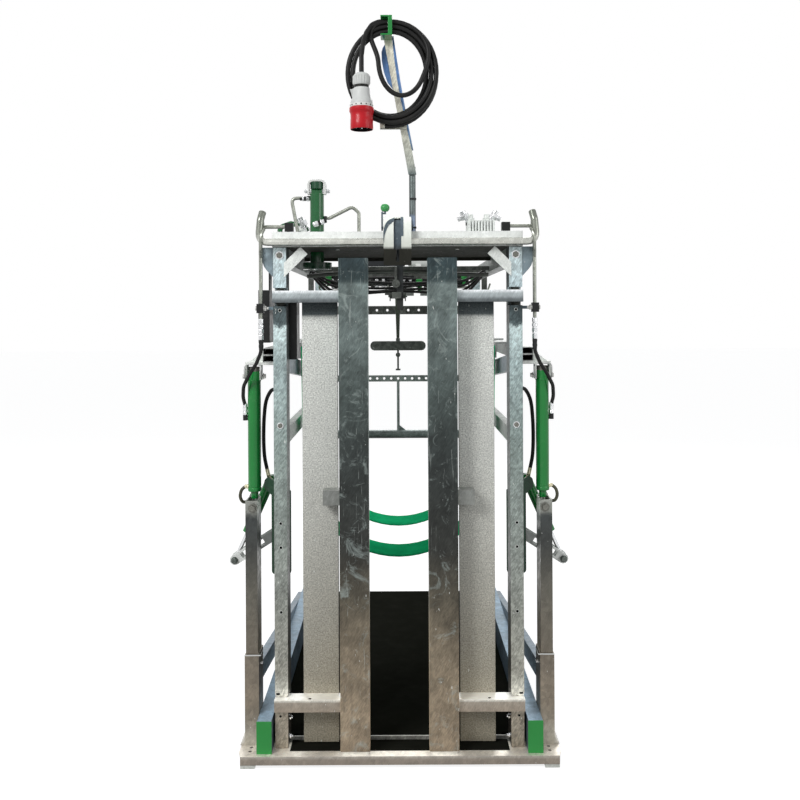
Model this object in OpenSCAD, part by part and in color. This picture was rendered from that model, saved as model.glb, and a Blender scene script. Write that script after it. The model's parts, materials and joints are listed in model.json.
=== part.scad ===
/* [Base] */
// Length of the base from front plate to rear plate
base_len = 2000; // [1900:10:2200]
// Width across the front plate
base_w = 1186; // [1180:2:1240]
// Depth of each cross plate
plate_d = 115; // [105:1:150]
// Height of each cross plate
plate_h = 32; // [20:1:50]
// Height of the foot pads
foot_h = 14; // [8:1:25]
// Width of a side rail
rail_w = 56; // [40:1:60]
// Height of a side rail
rail_h = 120; // [80:1:140]
// Wall of the box rails
rail_wall = 4; // [3:0.5:6]
// Thickness of the deck plate
deck_t = 12; // [6:1:16]
// Thickness of the rubber mat
mat_t = 12; // [5:1:16]

/* [Frame] */
// Height of the frame under the roof sheet
frame_h = 1938; // [1880:1:2100]
// Width of a corner post
post_w = 50; // [40:1:56]
// Depth of the tube of a corner post
post_d = 47; // [40:1:60]
// Depth of a hinge channel in front of a front post
channel_d = 49; // [47:1:60]
// Distance between the outer faces of the front posts
frame_w = 942; // [930:1:960]
// Wall of the frame tubes
tube_wall = 4; // [3:0.5:6]
// Depth of the roof sheet
roof_d = 690; // [600:5:800]
// Thickness of the roof sheet
roof_t = 6; // [4:1:10]
// Diameter of the front handle rail
handle_dia = 28; // [22:1:34]

/* [Head gate] */
// Free gap between the two door bars
neck_gap = 222; // [180:1:260]
// Width of a door bar
bar_w = 110; // [80:1:120]
// Height of the lower end of a door bar
bar_z0 = 57; // [52:1:120]
// Height of the upper end of a door bar
bar_z1 = 1894; // [1850:1:1900]
// Depth of a door bar
bar_d = 60; // [50:1:66]
// Width of a door panel
panel_w = 135; // [100:1:140]
// Depth of a door panel
panel_d = 30; // [20:1:36]
// Height of a hinge arm
arm_h = 45; // [35:1:50]
// Depth of a hinge arm
arm_d = 66; // [60:1:70]
// Diameter of a hinge pin
pin_dia = 16; // [12:1:20]

/* [Belly lift] */
// Width of a lift rail
lift_w = 46; // [40:1:50]
// Height of each of the two tubes of a lift rail
lift_h = 27; // [20:1:35]
// Height of the underside of the lift rails
lift_z = 1502; // [1480:1:1520]
// Diameter of a lift cylinder
barrel_dia = 46; // [40:1:54]
// Length of a lift cylinder
barrel_len = 429; // [400:1:450]
// Diameter of a lift rod
rod_dia = 20; // [16:1:24]
// Width of a belly belt
belt_w = 190; // [120:5:220]
// Thickness of a belly belt
belt_t = 8; // [5:1:10]
// Height of the lowest point of the belts
belt_z = 645; // [600:5:700]

/* [Cable] */
// Diameter of the supply cable
cable_dia = 18; // [14:1:20]
// Loops of the hanging coil
coil_loops = 5; // [3:1:5]
// Outer width of the coil
coil_w = 370; // [330:2:390]
// Outer height of the coil
coil_h = 406; // [380:2:430]
// Diameter of the red collar of the plug
plug_dia = 82; // [70:1:92]

/* [Hidden] */
$fn = 48;

galvanised = [0.66, 0.68, 0.69];
pale_zinc = [0.78, 0.79, 0.79];
green = [0.05, 0.45, 0.18];
dark_green = [0.04, 0.25, 0.12];
rubber = [0.05, 0.05, 0.05];
chrome = [0.85, 0.86, 0.88];

gap = 0.3;
run_gap = 0.05;
plate_t = 6;
front_y = -base_len / 2;
plate_top = foot_h + plate_h;
rail_x0 = frame_w / 2 + 8;
rail_x1 = rail_x0 + rail_w;
rail_y = base_len / 2 - 23;
rail_top = plate_top + rail_h;
post_x0 = frame_w / 2 - post_w;
post_x1 = frame_w / 2;
chan_y0 = front_y + 66;
post_y0 = chan_y0 + channel_d;
post_y1 = post_y0 + post_d;
hinge_x = (post_x0 + post_x1) / 2;
hinge_y = chan_y0 + 20;
arm_y0 = chan_y0 - 32;
arm_y1 = arm_y0 + arm_d;
bar_y0 = front_y + 10;
bar_x0 = neck_gap / 2;
bar_x1 = bar_x0 + bar_w;
panel_x0 = bar_x1 + 10;
low_arm_z = 195;
high_arm_z = frame_h - 209;
mid_tab_z = 975;
roof_z = frame_h;
roof_top = roof_z + roof_t;
beam_h = 60;
handle_y = front_y + 32;
handle_z = frame_h + 17;
handle_x = rail_x0 + 41;
roof_y0 = handle_y + handle_dia / 2 + gap;
roof_y1 = roof_y0 + roof_d;
fascia_h = 51;
anchor_x = base_w / 2 - 31;
anchor_y = [-front_y - 43, -front_y - 75];
anchor_dia = 14;
deck_edge_y = -post_y1 + 24;
sleeve_w = 54;
sleeve_x0 = rail_x1;
sleeve_x1 = sleeve_x0 + sleeve_w;
sleeve_y0 = chan_y0 + 24;
sleeve_y1 = sleeve_y0 + 110;
sleeve_top = 390;
outer_gap = 0.5;
outer_x0 = sleeve_x0 + tube_wall + outer_gap;
outer_x1 = sleeve_x1 - tube_wall - outer_gap;
outer_y0 = sleeve_y0 + tube_wall + outer_gap;
outer_y1 = sleeve_y1 - tube_wall - outer_gap;
outer_top = 975;
cyl_x = (outer_x0 + outer_x1) / 2 - 6;
cyl_y = (outer_y0 + outer_y1) / 2;
barrel_z0 = outer_top + 29;
barrel_z1 = barrel_z0 + barrel_len;
rod_pin_z = outer_top - 27;
bolt_dia = 12;
hole_gap = 0.4;
lift_x0 = post_x1 + 2;
lift_x1 = lift_x0 + lift_w;
lift_y0 = post_y0 + 1;
guide_w = 30;
guide_x = (lift_x0 + lift_x1) / 2;
guide_y = -post_y0 - 25;
guide_wall = 6;
bracket_t = 11;
hanger_t = 8;
hanger_x = post_x0 - 5;
belt_r = hanger_x - belt_t / 2 - 7;
belt_y = [-470, 110];
guard_x0 = post_x0 + 9;
guard_x1 = guard_x0 + 32;
guard_z0 = 1180;
guard_z1 = guard_z0 + 60;

// Mirrors its children so that they stand on both sides.
module both_sides() {
  for (side = [-1, 1]) scale_side(side) children();
}

// Side -1 is the left side, side 1 the right.
module scale_side(side) {
  if (side > 0) children();
  else mirror([1, 0, 0]) children();
}

// Box from its lowest to its highest corner.
module box(a, b) {
  translate(a) cube(b - a);
}

// Cylinder along Y from y0 to y1.
module rod_y(x, y0, y1, z, d) {
  translate([x, y1, z]) rotate([90, 0, 0]) cylinder(d = d, h = y1 - y0);
}

// Cylinder along X from x0 to x1.
module rod_x(x0, x1, y, z, d) {
  translate([x0, y, z]) rotate([0, 90, 0]) cylinder(d = d, h = x1 - x0);
}

// Upright cylinder from z0 to z1.
module rod_z(x, y, z0, z1, d) {
  translate([x, y, z0]) cylinder(d = d, h = z1 - z0);
}

// Upright box tube, open at both ends.
module tube_z(a, b, wall) {
  difference() {
    box(a, b);
    box(a + [wall, wall, -1], b + [-wall, -wall, 1]);
  }
}

// Box tube along Y, open at both ends.
module tube_y(a, b, wall) {
  difference() {
    box(a, b);
    box(a + [wall, -1, wall], b + [-wall, 1, -wall]);
  }
}

// Box tube along X, open at both ends.
module tube_x(a, b, wall) {
  difference() {
    box(a, b);
    box(a + [-1, wall, wall], b + [1, -wall, -wall]);
  }
}

// Directions, corners and rings of a tube swept along a list of points.
function unit(v) = v / norm(v);
function path_dir(p, i) =
  i == 0 ? unit(p[1] - p[0])
  : i == len(p) - 1 ? unit(p[i] - p[i - 1])
  : unit(unit(p[i] - p[i - 1]) + unit(p[i + 1] - p[i]));
function side_step(n, t) = unit(n - (n * t) * t);
function any_side(t) = side_step(abs(t.z) < 0.9 ? [0, 0, 1] : [0, 1, 0], t);
function sides_along(p, i = 0, acc = []) =
  i == len(p) ? acc
  : sides_along(p, i + 1, concat(acc, [
      i == 0 ? any_side(path_dir(p, 0)) : side_step(acc[i - 1], path_dir(p, i))
    ]));

// Rounds each inner corner of a path with an arc of about the bend radius.
function corner_cut(p, i, bend) =
  let (
    u = unit(p[i - 1] - p[i]),
    v = unit(p[i + 1] - p[i]),
    half = acos(max(-1, min(1, u * v))) / 2
  ) half > 86 ? 0
    : min(bend / tan(half), norm(p[i - 1] - p[i]) * 0.45, norm(p[i + 1] - p[i]) * 0.45);
function bend_points(p, i, bend, steps) =
  let (
    cut = corner_cut(p, i, bend),
    a = p[i] + unit(p[i - 1] - p[i]) * cut,
    b = p[i] + unit(p[i + 1] - p[i]) * cut
  ) cut == 0 ? [p[i]] : [for (k = [0:steps]) let (t = k / steps)
      a * (1 - t) * (1 - t) + p[i] * 2 * t * (1 - t) + b * t * t];
function rounded(p, bend, steps = 4) = [
  p[0],
  for (i = [1:len(p) - 2]) each bend_points(p, i, bend, steps),
  p[len(p) - 1]
];

// Solid tube with flat ends along a path.
module sweep(p, d, sides = 12) {
  n = len(p);
  s = sides_along(p);
  pts = [
    for (i = [0:n - 1]) let (t = path_dir(p, i), u = s[i], v = cross(t, u))
      for (k = [0:sides - 1]) let (a = 360 * k / sides)
        p[i] + (u * cos(a) + v * sin(a)) * d / 2
  ];
  faces = [
    [for (k = [0:sides - 1]) k],
    [for (k = [sides - 1:-1:0]) (n - 1) * sides + k],
    for (i = [0:n - 2]) for (k = [0:sides - 1])
      let (a = i * sides + k, b = i * sides + (k + 1) % sides)
        each [[a, a + sides, b + sides], [a, b + sides, b]]
  ];
  polyhedron(points = pts, faces = faces, convexity = 8);
}

// Mirrors its children to the rear half.
module front_and_rear() {
  children();
  mirror([0, 1, 0]) children();
}

module base_plates() {
  color(galvanised) front_and_rear() base_plate();
}

// Folded channel with its mouth down, chamfered ends and four anchor holes.
module base_plate() {
  difference() {
    union() {
      box([-base_w / 2, front_y, foot_h], [base_w / 2, front_y + plate_d, plate_top]);
      translate([0, 0, plate_top - plate_t]) linear_extrude(plate_t) polygon([
        [-base_w / 2, front_y + 1], [base_w / 2, front_y + 1],
        [base_w / 2 + 10, front_y + 40], [base_w / 2 + 10, front_y + plate_d],
        [-base_w / 2 - 10, front_y + plate_d], [-base_w / 2 - 10, front_y + 40]
      ]);
    }
    box([-base_w, front_y + plate_t, foot_h - 1],
        [base_w, front_y + plate_d - plate_t, plate_top - plate_t]);
    anchor_holes(-1);
  }
}

// The anchor holes of one cross plate, front for side -1.
module anchor_holes(side) {
  for (x = [-anchor_x, anchor_x]) for (y = anchor_y)
    rod_z(x, side * y, -1, plate_top + 1, anchor_dia);
}

module foot_pads() {
  color(pale_zinc) both_sides() front_and_rear() difference() {
    box([base_w / 2 - 54, front_y + 2, 0], [base_w / 2, front_y + plate_d, foot_h]);
    anchor_holes(-1);
  }
}

module base_rails() {
  color(galvanised) both_sides()
    tube_y([rail_x0, -rail_y, plate_top], [rail_x1, rail_y, rail_top], rail_wall);
}

module rail_end_caps() {
  color(green) both_sides() front_and_rear() {
    box([rail_x0 - 1, -rail_y - 4, plate_top], [rail_x1, -rail_y, rail_top + 1]);
    box([rail_x0 + rail_wall + gap, -rail_y - 1, plate_top + rail_wall + gap],
        [rail_x1 - rail_wall - gap, -rail_y + 18, rail_top - rail_wall - gap]);
  }
}

module floor_deck() {
  color(galvanised) {
    box([-rail_x1, front_y + plate_d, plate_top - deck_t],
        [rail_x1, -front_y - plate_d, plate_top]);
    box([-post_x0 + 1, -deck_edge_y - 6, plate_top], [post_x0 - 1, -deck_edge_y, plate_top + 16]);
  }
}

module floor_mat() {
  color(rubber) difference() {
    box([-rail_x0 + 1, -deck_edge_y, plate_top], [rail_x0 - 1, -front_y - 2, plate_top + mat_t]);
    both_sides() front_and_rear()
      box([post_x0 - 1, front_y, plate_top - 1], [rail_x0, post_y1 + 1, plate_top + mat_t + 1]);
  }
}

module corner_posts() {
  color(galvanised) both_sides() front_and_rear()
    tube_z([post_x0, post_y0, plate_top], [post_x1, post_y1, frame_h], tube_wall);
}

// One length of hinge channel, open to the rear, with an end plate where a pin stands.
module channel_piece(z0, z1, pin_plate) {
  difference() {
    box([post_x0, chan_y0, z0], [post_x1, post_y0, z1]);
    box([post_x0 + tube_wall, chan_y0 + tube_wall, z0 - 1],
        [post_x1 - tube_wall, post_y0 + 1, z1 - (pin_plate ? pin_plate_t : -1)]);
    if (pin_plate) rod_z(hinge_x, hinge_y, z0, z1 + 1, pin_dia + 2 * run_gap);
  }
}
pin_plate_t = 12;
bush_h = 7;
head_h = 10;
low_seat = low_arm_z - bush_h;
high_seat = high_arm_z - bush_h - 6;

module hinge_channels() {
  color(galvanised) both_sides() {
    channel_piece(plate_top, low_seat, true);
    channel_piece(low_arm_z + arm_h + head_h + 1, high_seat, true);
    channel_piece(high_arm_z + arm_h + head_h + 1, frame_h, false);
  }
}

// Pin through a hinge arm, with its head above and a bush below.
module hinge_pin(seat, arm_z) {
  rod_z(hinge_x, hinge_y, seat - pin_plate_t - 8, arm_z + arm_h + gap, pin_dia);
  translate([hinge_x, hinge_y, arm_z + arm_h + gap]) cylinder(d = 27, h = head_h - 2, $fn = 6);
  rod_z(hinge_x, hinge_y, seat, arm_z - gap, 32);
}

// Lug on a rear post that carries a knuckle of the rear gate.
module gate_lug(z) {
  box([-post_x0, gate_y - lug_r, z], [gate_hinge_x, gate_y + lug_r, z + 9]);
  rod_z(gate_hinge_x, gate_y, z, z + 9, 2 * lug_r);
  rod_z(gate_hinge_x, gate_y, z, z + 9 + knuckle_h + 6, gate_pin_dia);
}
gate_y = -post_y1 + 24;
gate_pin_dia = 14;
knuckle_d = 26;
knuckle_h = 30;
lug_r = 11.5;
gate_hinge_x = -post_x0 + knuckle_d / 2 + gap;
gate_lug_z = [930, 1345];

module pins_and_bolts() {
  color(chrome) {
    both_sides() {
      hinge_pin(low_seat, low_arm_z);
      hinge_pin(high_seat, high_arm_z);
      rod_y(cyl_x, outer_y0 - 10, outer_y1 + 8, rod_pin_z, bolt_dia);
      translate([cyl_x, outer_y0 - 1, rod_pin_z]) rotate([90, 0, 0])
        cylinder(d = 22, h = 9, $fn = 6);
      for (z = sleeve_bolts) {
        translate([sleeve_x1, cyl_y, z]) rotate([0, 90, 0]) cylinder(d = 20, h = 8, $fn = 6);
        rod_x(sleeve_x0 - 8, sleeve_x1, cyl_y, z, bolt_dia);
      }
      for (z = post_bolts) translate([hinge_x, chan_y0, z]) rotate([90, 0, 0])
        cylinder(d1 = 20, d2 = 12, h = 6);
    }
    for (z = gate_lug_z) gate_lug(z);
  }
}
sleeve_bolts = [340];
post_bolts = [frame_h - 30, 1265];

module outer_sleeves() {
  color(galvanised) both_sides() difference() {
    tube_z([sleeve_x0, sleeve_y0, plate_top], [sleeve_x1, sleeve_y1, sleeve_top], tube_wall);
    sleeve_bolt_holes();
  }
}

module sleeve_bolt_holes() {
  for (z = sleeve_bolts)
    rod_x(sleeve_x0 - 1, sleeve_x1 + 1, cyl_y, z, bolt_dia + hole_gap);
}

module outer_posts() {
  color(galvanised) both_sides() difference() {
    tube_z([outer_x0, outer_y0, 150], [outer_x1, outer_y1, outer_top], tube_wall);
    sleeve_bolt_holes();
    rod_y(cyl_x, outer_y0 - 1, outer_y1 + 1, rod_pin_z, bolt_dia + hole_gap);
  }
}

module roof_side_beams() {
  color(galvanised) both_sides()
    tube_y([post_x0, post_y1, frame_h - beam_h], [post_x1, -post_y1, frame_h], tube_wall);
}

press_x = -328;
press_y = front_y + 350;
press_dia = 57;
press_top = roof_top + 234;

module roof_sheet() {
  color(galvanised) difference() {
    union() {
      box([-post_x1, roof_y0, roof_z], [post_x1, roof_y1, roof_top]);
      box([-post_x1, roof_y0, roof_top - 1], [post_x1, roof_y0 + 5, roof_top + fascia_h]);
      box([-post_x0 + 1, roof_y1 - 6, roof_z - 14], [post_x0 - 1, roof_y1, roof_z + 1]);
      box([-post_x1, winch_y - 40, roof_z], [post_x1, -post_y1, roof_top]);
    }
    for (x = [-430, -235, 235]) rod_z(x, -790, roof_z - 1, roof_top + 1, 16);
    rod_z(press_x, press_y, roof_z - 1, roof_top + 1, press_dia + 2 * gap);
  }
}

module roof_front_rail() {
  top = handle_z + 114;
  ends = [handle_x, handle_y, handle_z];
  path = rounded([
    [-handle_x + 14, handle_y + 14, top], [-handle_x + 8, handle_y, top - 30],
    [-handle_x, handle_y, handle_z], ends, [handle_x - 8, handle_y, top - 30],
    [handle_x - 14, handle_y + 14, top]
  ], 34, 5);
  color(galvanised) sweep(path, handle_dia, 16);
}

module corner_plates() {
  color(pale_zinc) {
    both_sides() {
      plate_xz(chan_y0 - 6, chan_y0, [
        [post_x0 + 8, frame_h - 59], [post_x0 - 51, frame_h], [post_x0 - 56, frame_h],
        [post_x0 - 82, frame_h - 26], [post_x0 + 8, frame_h - 113]
      ]);
      plate_xz(chan_y0 + 2, chan_y0 + 8, [
        [post_x1, frame_h], [post_x1 + 42, frame_h], [post_x1 + 39, frame_h - 58],
        [post_x1 + 34, frame_h - 72], [post_x1 + 24, frame_h - 86], [post_x1, frame_h - 112]
      ]);
    }
    box([-3, chan_y0 + 34, frame_h - 238], [21, chan_y0 + 44, frame_h]);
  }
}

// Plate in the XZ plane between two depths.
module plate_xz(y0, y1, pts) {
  translate([0, y1, 0]) rotate([90, 0, 0]) linear_extrude(y1 - y0) polygon(pts);
}

// Plate in the YZ plane between two widths.
module plate_yz(x0, x1, pts) {
  translate([x0, 0, 0]) rotate([90, 0, 90]) linear_extrude(x1 - x0) polygon(pts);
}

// Sloping box tube that falls to the rear, cut at its front end and at its foot.
module sloped_tube(x0, x1, y0, z_top, h, fall, foot_z) {
  len = (z_top - foot_z) / tan(fall) + h;
  difference() {
    translate([0, y0, z_top]) rotate([-fall, 0, 0])
      tube_y([x0, -h, -h], [x1, len, 0], tube_wall);
    box([x0 - 1, y0 - 3 * h, foot_z - 2 * h], [x1 + 1, y0, z_top + 2 * h]);
    box([x0 - 1, y0 - 1, foot_z - 3 * h], [x1 + 1, y0 + 2 * len, foot_z]);
  }
}

// Box tube from a front post to a rear post that falls a little to the rear.
module upper_brace(x0, x1) {
  front = [post_y1, brace_z];
  rear = [-post_y1, brace_z - brace_fall];
  difference() {
    plate_yz(x0, x1, [front, rear, rear - [0, brace_h], front - [0, brace_h]]);
    plate_yz(x0 + tube_wall, x1 - tube_wall, [
      front + [-1, -tube_wall], rear + [1, -tube_wall],
      rear + [1, tube_wall - brace_h], front + [-1, tube_wall - brace_h]
    ]);
  }
}
brace_z = 1528;
brace_h = 66;
brace_fall = 150;

module side_braces() {
  color(galvanised) both_sides() {
    sloped_tube(rail_x1, rail_x1 + 32, sleeve_y1, 332, 70, 7.4, rail_top - 36);
    upper_brace(guard_x0, guard_x0 + 25);
  }
}

module guard_rails() {
  color(galvanised) both_sides()
    tube_y([guard_x0, post_y1, guard_z0], [guard_x1, -post_y1, guard_z1], 3);
}

rear_beam_z = frame_h - 253;
winch_y = -front_y - 400;
winch_z = frame_h - 138;
winch_r = 30;
chain_dia = 10;
chain_y = winch_y - winch_r - chain_dia / 2 - gap;
spreader_top = winch_z - 260;

module rear_top_beam() {
  color(galvanised) {
    difference() {
      tube_x([-post_x0, post_y0 * -1 - 40, rear_beam_z],
             [post_x0, post_y0 * -1, rear_beam_z + 48], 3);
      for (x = [-360:60:360]) rod_y(x, 0, -front_y, rear_beam_z + 24, 14);
    }
    tube_x([-post_x0, winch_y - 30, frame_h - beam_h], [post_x0, winch_y + 30, frame_h], 4);
    for (x = [-51, 45]) difference() {
      box([x, winch_y - 28, winch_z - 22], [x + 6, winch_y + 28, frame_h - beam_h]);
      rod_x(x - 1, x + 7, winch_y, winch_z, 20 + 2 * run_gap);
    }
  }
}

module winch_drum() {
  color(galvanised) {
    rod_x(-70, 70, winch_y, winch_z, 20);
    rod_x(-40, 40, winch_y, winch_z, 2 * winch_r);
    for (x = [-44.5, 38.5]) rod_x(x, x + 6, winch_y, winch_z, 88);
  }
}

module winch_chain() {
  color(galvanised) rod_z(0, chain_y, spreader_top + 16, winch_z, chain_dia);
}

module leg_spreader() {
  color([0.25, 0.26, 0.27]) {
    plate_xz(chain_y - 14, chain_y + 14, [
      for (a = [-90:30:90]) [128 + 22 * cos(a), spreader_top - 25 + 25 * sin(a)],
      for (a = [90:30:270]) [-128 + 22 * cos(a), spreader_top - 25 + 25 * sin(a)]
    ]);
    rod_z(0, chain_y, spreader_top - 1, spreader_top + 15.7, 22);
    rod_z(0, chain_y, spreader_top - 150, spreader_top - 49, 10);
    translate([0, chain_y, spreader_top - 74]) sphere(d = 26);
    rod_z(0, chain_y, spreader_top - 158, spreader_top - 149, 26);
  }
}

module rear_gate() {
  stile = gate_hinge_x + knuckle_d / 2 - 1;
  color(galvanised) difference() {
    union() {
      for (x = [stile, -stile - 22])
        box([x, gate_y - 10, 900], [x + 22, gate_y + 10, 1400]);
      rod_x(stile + 21, -stile - 21, gate_y, 999, 48);
      box([stile + 21, gate_y - 3, 1300], [-stile - 21, gate_y + 3, 1336]);
      rod_z(0, gate_y, 1020, 1301, 16);
      plate_xz(gate_y - 3, gate_y + 3, [[7, 1018], [48, 1018], [7, 1050]]);
      for (z = gate_lug_z)
        rod_z(gate_hinge_x, gate_y, z + 9 + gap, z + 9 + knuckle_h, knuckle_d);
    }
    for (z = gate_lug_z)
      rod_z(gate_hinge_x, gate_y, z, z + 50, gate_pin_dia + 2 * run_gap);
    for (x = [-320:40:320]) rod_y(x, gate_y - 9, gate_y + 9, 1318, 14);
  }
}

module outer_bracket_web() {
  plate_xz(cyl_y - 3, cyl_y + 3, [
    [lift_x1, lift_z], [lift_x1 + 58, lift_z], [lift_x1, lift_z + 42]
  ]);
}
lug_pin_z = barrel_z1 + 14;
ear_gap = 1;
lug_w = 46;
ear_x0 = cyl_x - lug_w / 2 - ear_gap;
ear_x1 = cyl_x + lug_w / 2 + ear_gap;
ear_t = 6;

module lift_rails() {
  color(galvanised) both_sides() {
    for (k = [0, 1]) tube_y([lift_x0, lift_y0, lift_z + k * lift_h],
                            [lift_x1, guide_y - guide_w / 2 - guide_wall - 1,
                             lift_z + (k + 1) * lift_h], 3);
    difference() {
      box([guide_x - guide_w / 2 - guide_wall, guide_y - guide_w / 2 - guide_wall - 1,
           lift_z - 60],
          [guide_x + guide_w / 2 + guide_wall, guide_y + guide_w / 2 + guide_wall,
           lift_z + 100]);
      box([guide_x - guide_w / 2 - gap, guide_y - guide_w / 2 - gap, lift_z - 61],
          [guide_x + guide_w / 2 + gap, guide_y + guide_w / 2 + gap, lift_z + 101]);
    }
    for (y = belt_y) {
      box([hanger_x, y, lift_z + 2 * lift_h], [lift_x1, y + belt_w, lift_z + 2 * lift_h + hanger_t]);
      box([hanger_x, y, lift_z - 6], [hanger_x + 6, y + belt_w, lift_z + 2 * lift_h + 1]);
    }
  }
}

module lift_brackets() {
  color(pale_zinc) both_sides() {
    box([lift_x0, cyl_y - 28, lift_z - bracket_t], [ear_x1 + ear_t, cyl_y + 28, lift_z]);
    outer_bracket_web();
    for (x = [ear_x0 - ear_t, ear_x1])
      box([x, cyl_y - 22, barrel_z1 + gap], [x + ear_t, cyl_y + 22, lift_z - bracket_t + 1]);
    rod_x(ear_x0 - ear_t - 10, ear_x1 + ear_t + 4, cyl_y, lug_pin_z, bolt_dia);
  }
}

module lift_barrels() {
  color(green) both_sides() {
    difference() {
      union() {
        rod_z(cyl_x, cyl_y, barrel_z0, barrel_z1, barrel_dia);
        for (z = [barrel_z0, barrel_z1 - 14]) rod_z(cyl_x, cyl_y, z, z + 14, barrel_dia + 3);
        box([cyl_x - lug_w / 2, cyl_y - 16, barrel_z1 - 1],
            [cyl_x + lug_w / 2, cyl_y + 16, lug_pin_z]);
        rod_x(cyl_x - lug_w / 2, cyl_x + lug_w / 2, cyl_y, lug_pin_z, 32);
      }
      rod_z(cyl_x, cyl_y, barrel_z0 + 20, barrel_z1 - 12, barrel_dia - 10);
      rod_z(cyl_x, cyl_y, barrel_z0 - 1, barrel_z0 + 21, rod_dia + 2 * run_gap);
      rod_x(cyl_x - 60, cyl_x + 60, cyl_y, lug_pin_z, bolt_dia + hole_gap);
    }
  }
}

module lift_rods() {
  color(chrome) both_sides() difference() {
    union() {
      rod_z(cyl_x, cyl_y, rod_pin_z - 16, barrel_z1 - 20, rod_dia);
      rod_z(cyl_x, cyl_y, barrel_z1 - 40, barrel_z1 - 20, barrel_dia - 10 - 2 * run_gap);
    }
    rod_y(cyl_x, cyl_y - 20, cyl_y + 20, rod_pin_z, bolt_dia + hole_gap);
  }
}

module lift_guide_bars() {
  color(galvanised) both_sides() {
    box([guide_x - guide_w / 2, guide_y - guide_w / 2, rail_top],
        [guide_x + guide_w / 2, guide_y + guide_w / 2, frame_h]);
    box([post_x0, -post_y1, frame_h], [guide_x + guide_w / 2 + 4, -post_y0, frame_h + 6]);
  }
}

// Half outline of a belt: round below, then straight up to its hanger.
function belt_line(r) = [
  for (a = [-90:6:0]) [r * cos(a), belt_z + belt_r + belt_t / 2 + r * sin(a)],
  [hanger_x - belt_t / 2 + (r - belt_r), lift_z + 46]
];

module belly_belts() {
  outer = belt_line(belt_r + belt_t / 2);
  inner = belt_line(belt_r - belt_t / 2);
  color([0.03, 0.55, 0.3]) for (y = belt_y)
    plate_xz(y, y + belt_w, concat(
      [for (p = outer) p],
      [for (i = [len(inner) - 1:-1:0]) inner[i]],
      [for (i = [1:len(inner) - 1]) [-inner[i].x, inner[i].y]],
      [for (i = [len(outer) - 1:-1:1]) [-outer[i].x, outer[i].y]]
    ));
}

foot_y = sleeve_y1 + 30;
foot_pivot = [504, 1035];
foot_end = [645, 722];
foot_hinge = [450, 845];
foot_len = norm(foot_pivot - foot_end);
foot_tilt = atan2(foot_end.x - foot_pivot.x, foot_pivot.y - foot_end.y);
foot_pin = 12;
foot_barrel_d = 40;
foot_rod_d = 16;
foot_gap = 21;
foot_bar_r = 20;
foot_slot_r = 11;
foot_mid = foot_hinge + 0.3 * (foot_end - foot_hinge);

module foot_rest_brackets() {
  color(dark_green) both_sides() {
    plate_xz(post_y1, post_y1 + 8, [
      [418, 1000], for (a = [180:30:360]) [431 + 13 * cos(a), 690 + 13 * sin(a)],
      for (a = [180:30:360]) [481 + 13 * cos(a), 690 + 13 * sin(a)],
      [494, 985], [522, 1012], for (a = [0:30:90]) [504 + 18 * cos(a), 1035 + 18 * sin(a)]
    ]);
    rod_y(foot_pivot.x, post_y1 + 7, foot_y + 24, foot_pivot.y, foot_pin);
    rod_y(foot_hinge.x, post_y1 + 7, foot_y + foot_gap + 10, foot_hinge.y, foot_pin);
  }
}

// Places its children at the upper pivot of a foot-rest cylinder, with -Z along it.
module on_foot_cylinder() {
  translate([foot_pivot.x, foot_y, foot_pivot.y]) rotate([0, -foot_tilt, 0]) children();
}

module foot_barrel() {
  color(green) on_foot_cylinder() difference() {
    union() {
      rod_z(0, 0, -230, -14, foot_barrel_d);
      rod_y(0, -18, 18, 0, 34);
    }
    rod_y(0, -30, 30, 0, foot_pin + 2 * run_gap);
    rod_z(0, 0, -212, -24, foot_barrel_d - 10);
    rod_z(0, 0, -231, -211, foot_rod_d + 2 * run_gap);
  }
}

module foot_rod() {
  color(chrome) on_foot_cylinder() difference() {
    union() {
      rod_z(0, 0, -foot_len + 12, -110, foot_rod_d);
      rod_z(0, 0, -124, -110, foot_barrel_d - 10 - 2 * run_gap);
      rod_y(0, -14, 14, -foot_len, 32);
    }
    rod_y(0, -30, 30, -foot_len, foot_pin + 10);
  }
}

// Flat arm bar from the hinge to the outer end, with round ends and a long slot.
module foot_bar(y0, y1) {
  d = unit(foot_end - foot_hinge);
  n = [-d.y, d.x];
  difference() {
    plate_xz(y0, y1, [
      for (a = [90:30:270]) foot_hinge + foot_bar_r * (d * cos(a) + n * sin(a)),
      for (a = [-90:30:90]) foot_end + foot_bar_r * (d * cos(a) + n * sin(a))
    ]);
    plate_xz(y0 - 1, y1 + 1, [
      foot_mid + 24 * d + foot_slot_r * n, foot_end - 30 * d + foot_slot_r * n,
      foot_end - 30 * d - foot_slot_r * n, foot_mid + 24 * d - foot_slot_r * n
    ]);
  }
}

module foot_arm() {
  color(pale_zinc) difference() {
    union() {
      foot_bar(foot_y - foot_gap - 6, foot_y - foot_gap);
      foot_bar(foot_y + foot_gap, foot_y + foot_gap + 6);
      rod_y(foot_mid.x, foot_y - foot_gap - 1, foot_y + foot_gap + 1, foot_mid.y, 22);
      rod_y(foot_end.x, foot_y - 32, foot_y + 32, foot_end.y, foot_pin);
    }
    rod_y(foot_hinge.x, foot_y - 40, foot_y + 40, foot_hinge.y, foot_pin + 2 * run_gap);
  }
}

module foot_arm_left() { scale_side(-1) foot_arm(); }
module foot_arm_right() { scale_side(1) foot_arm(); }
module foot_barrel_left() { scale_side(-1) foot_barrel(); }
module foot_barrel_right() { scale_side(1) foot_barrel(); }
module foot_rod_left() { scale_side(-1) foot_rod(); }
module foot_rod_right() { scale_side(1) foot_rod(); }

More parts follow.
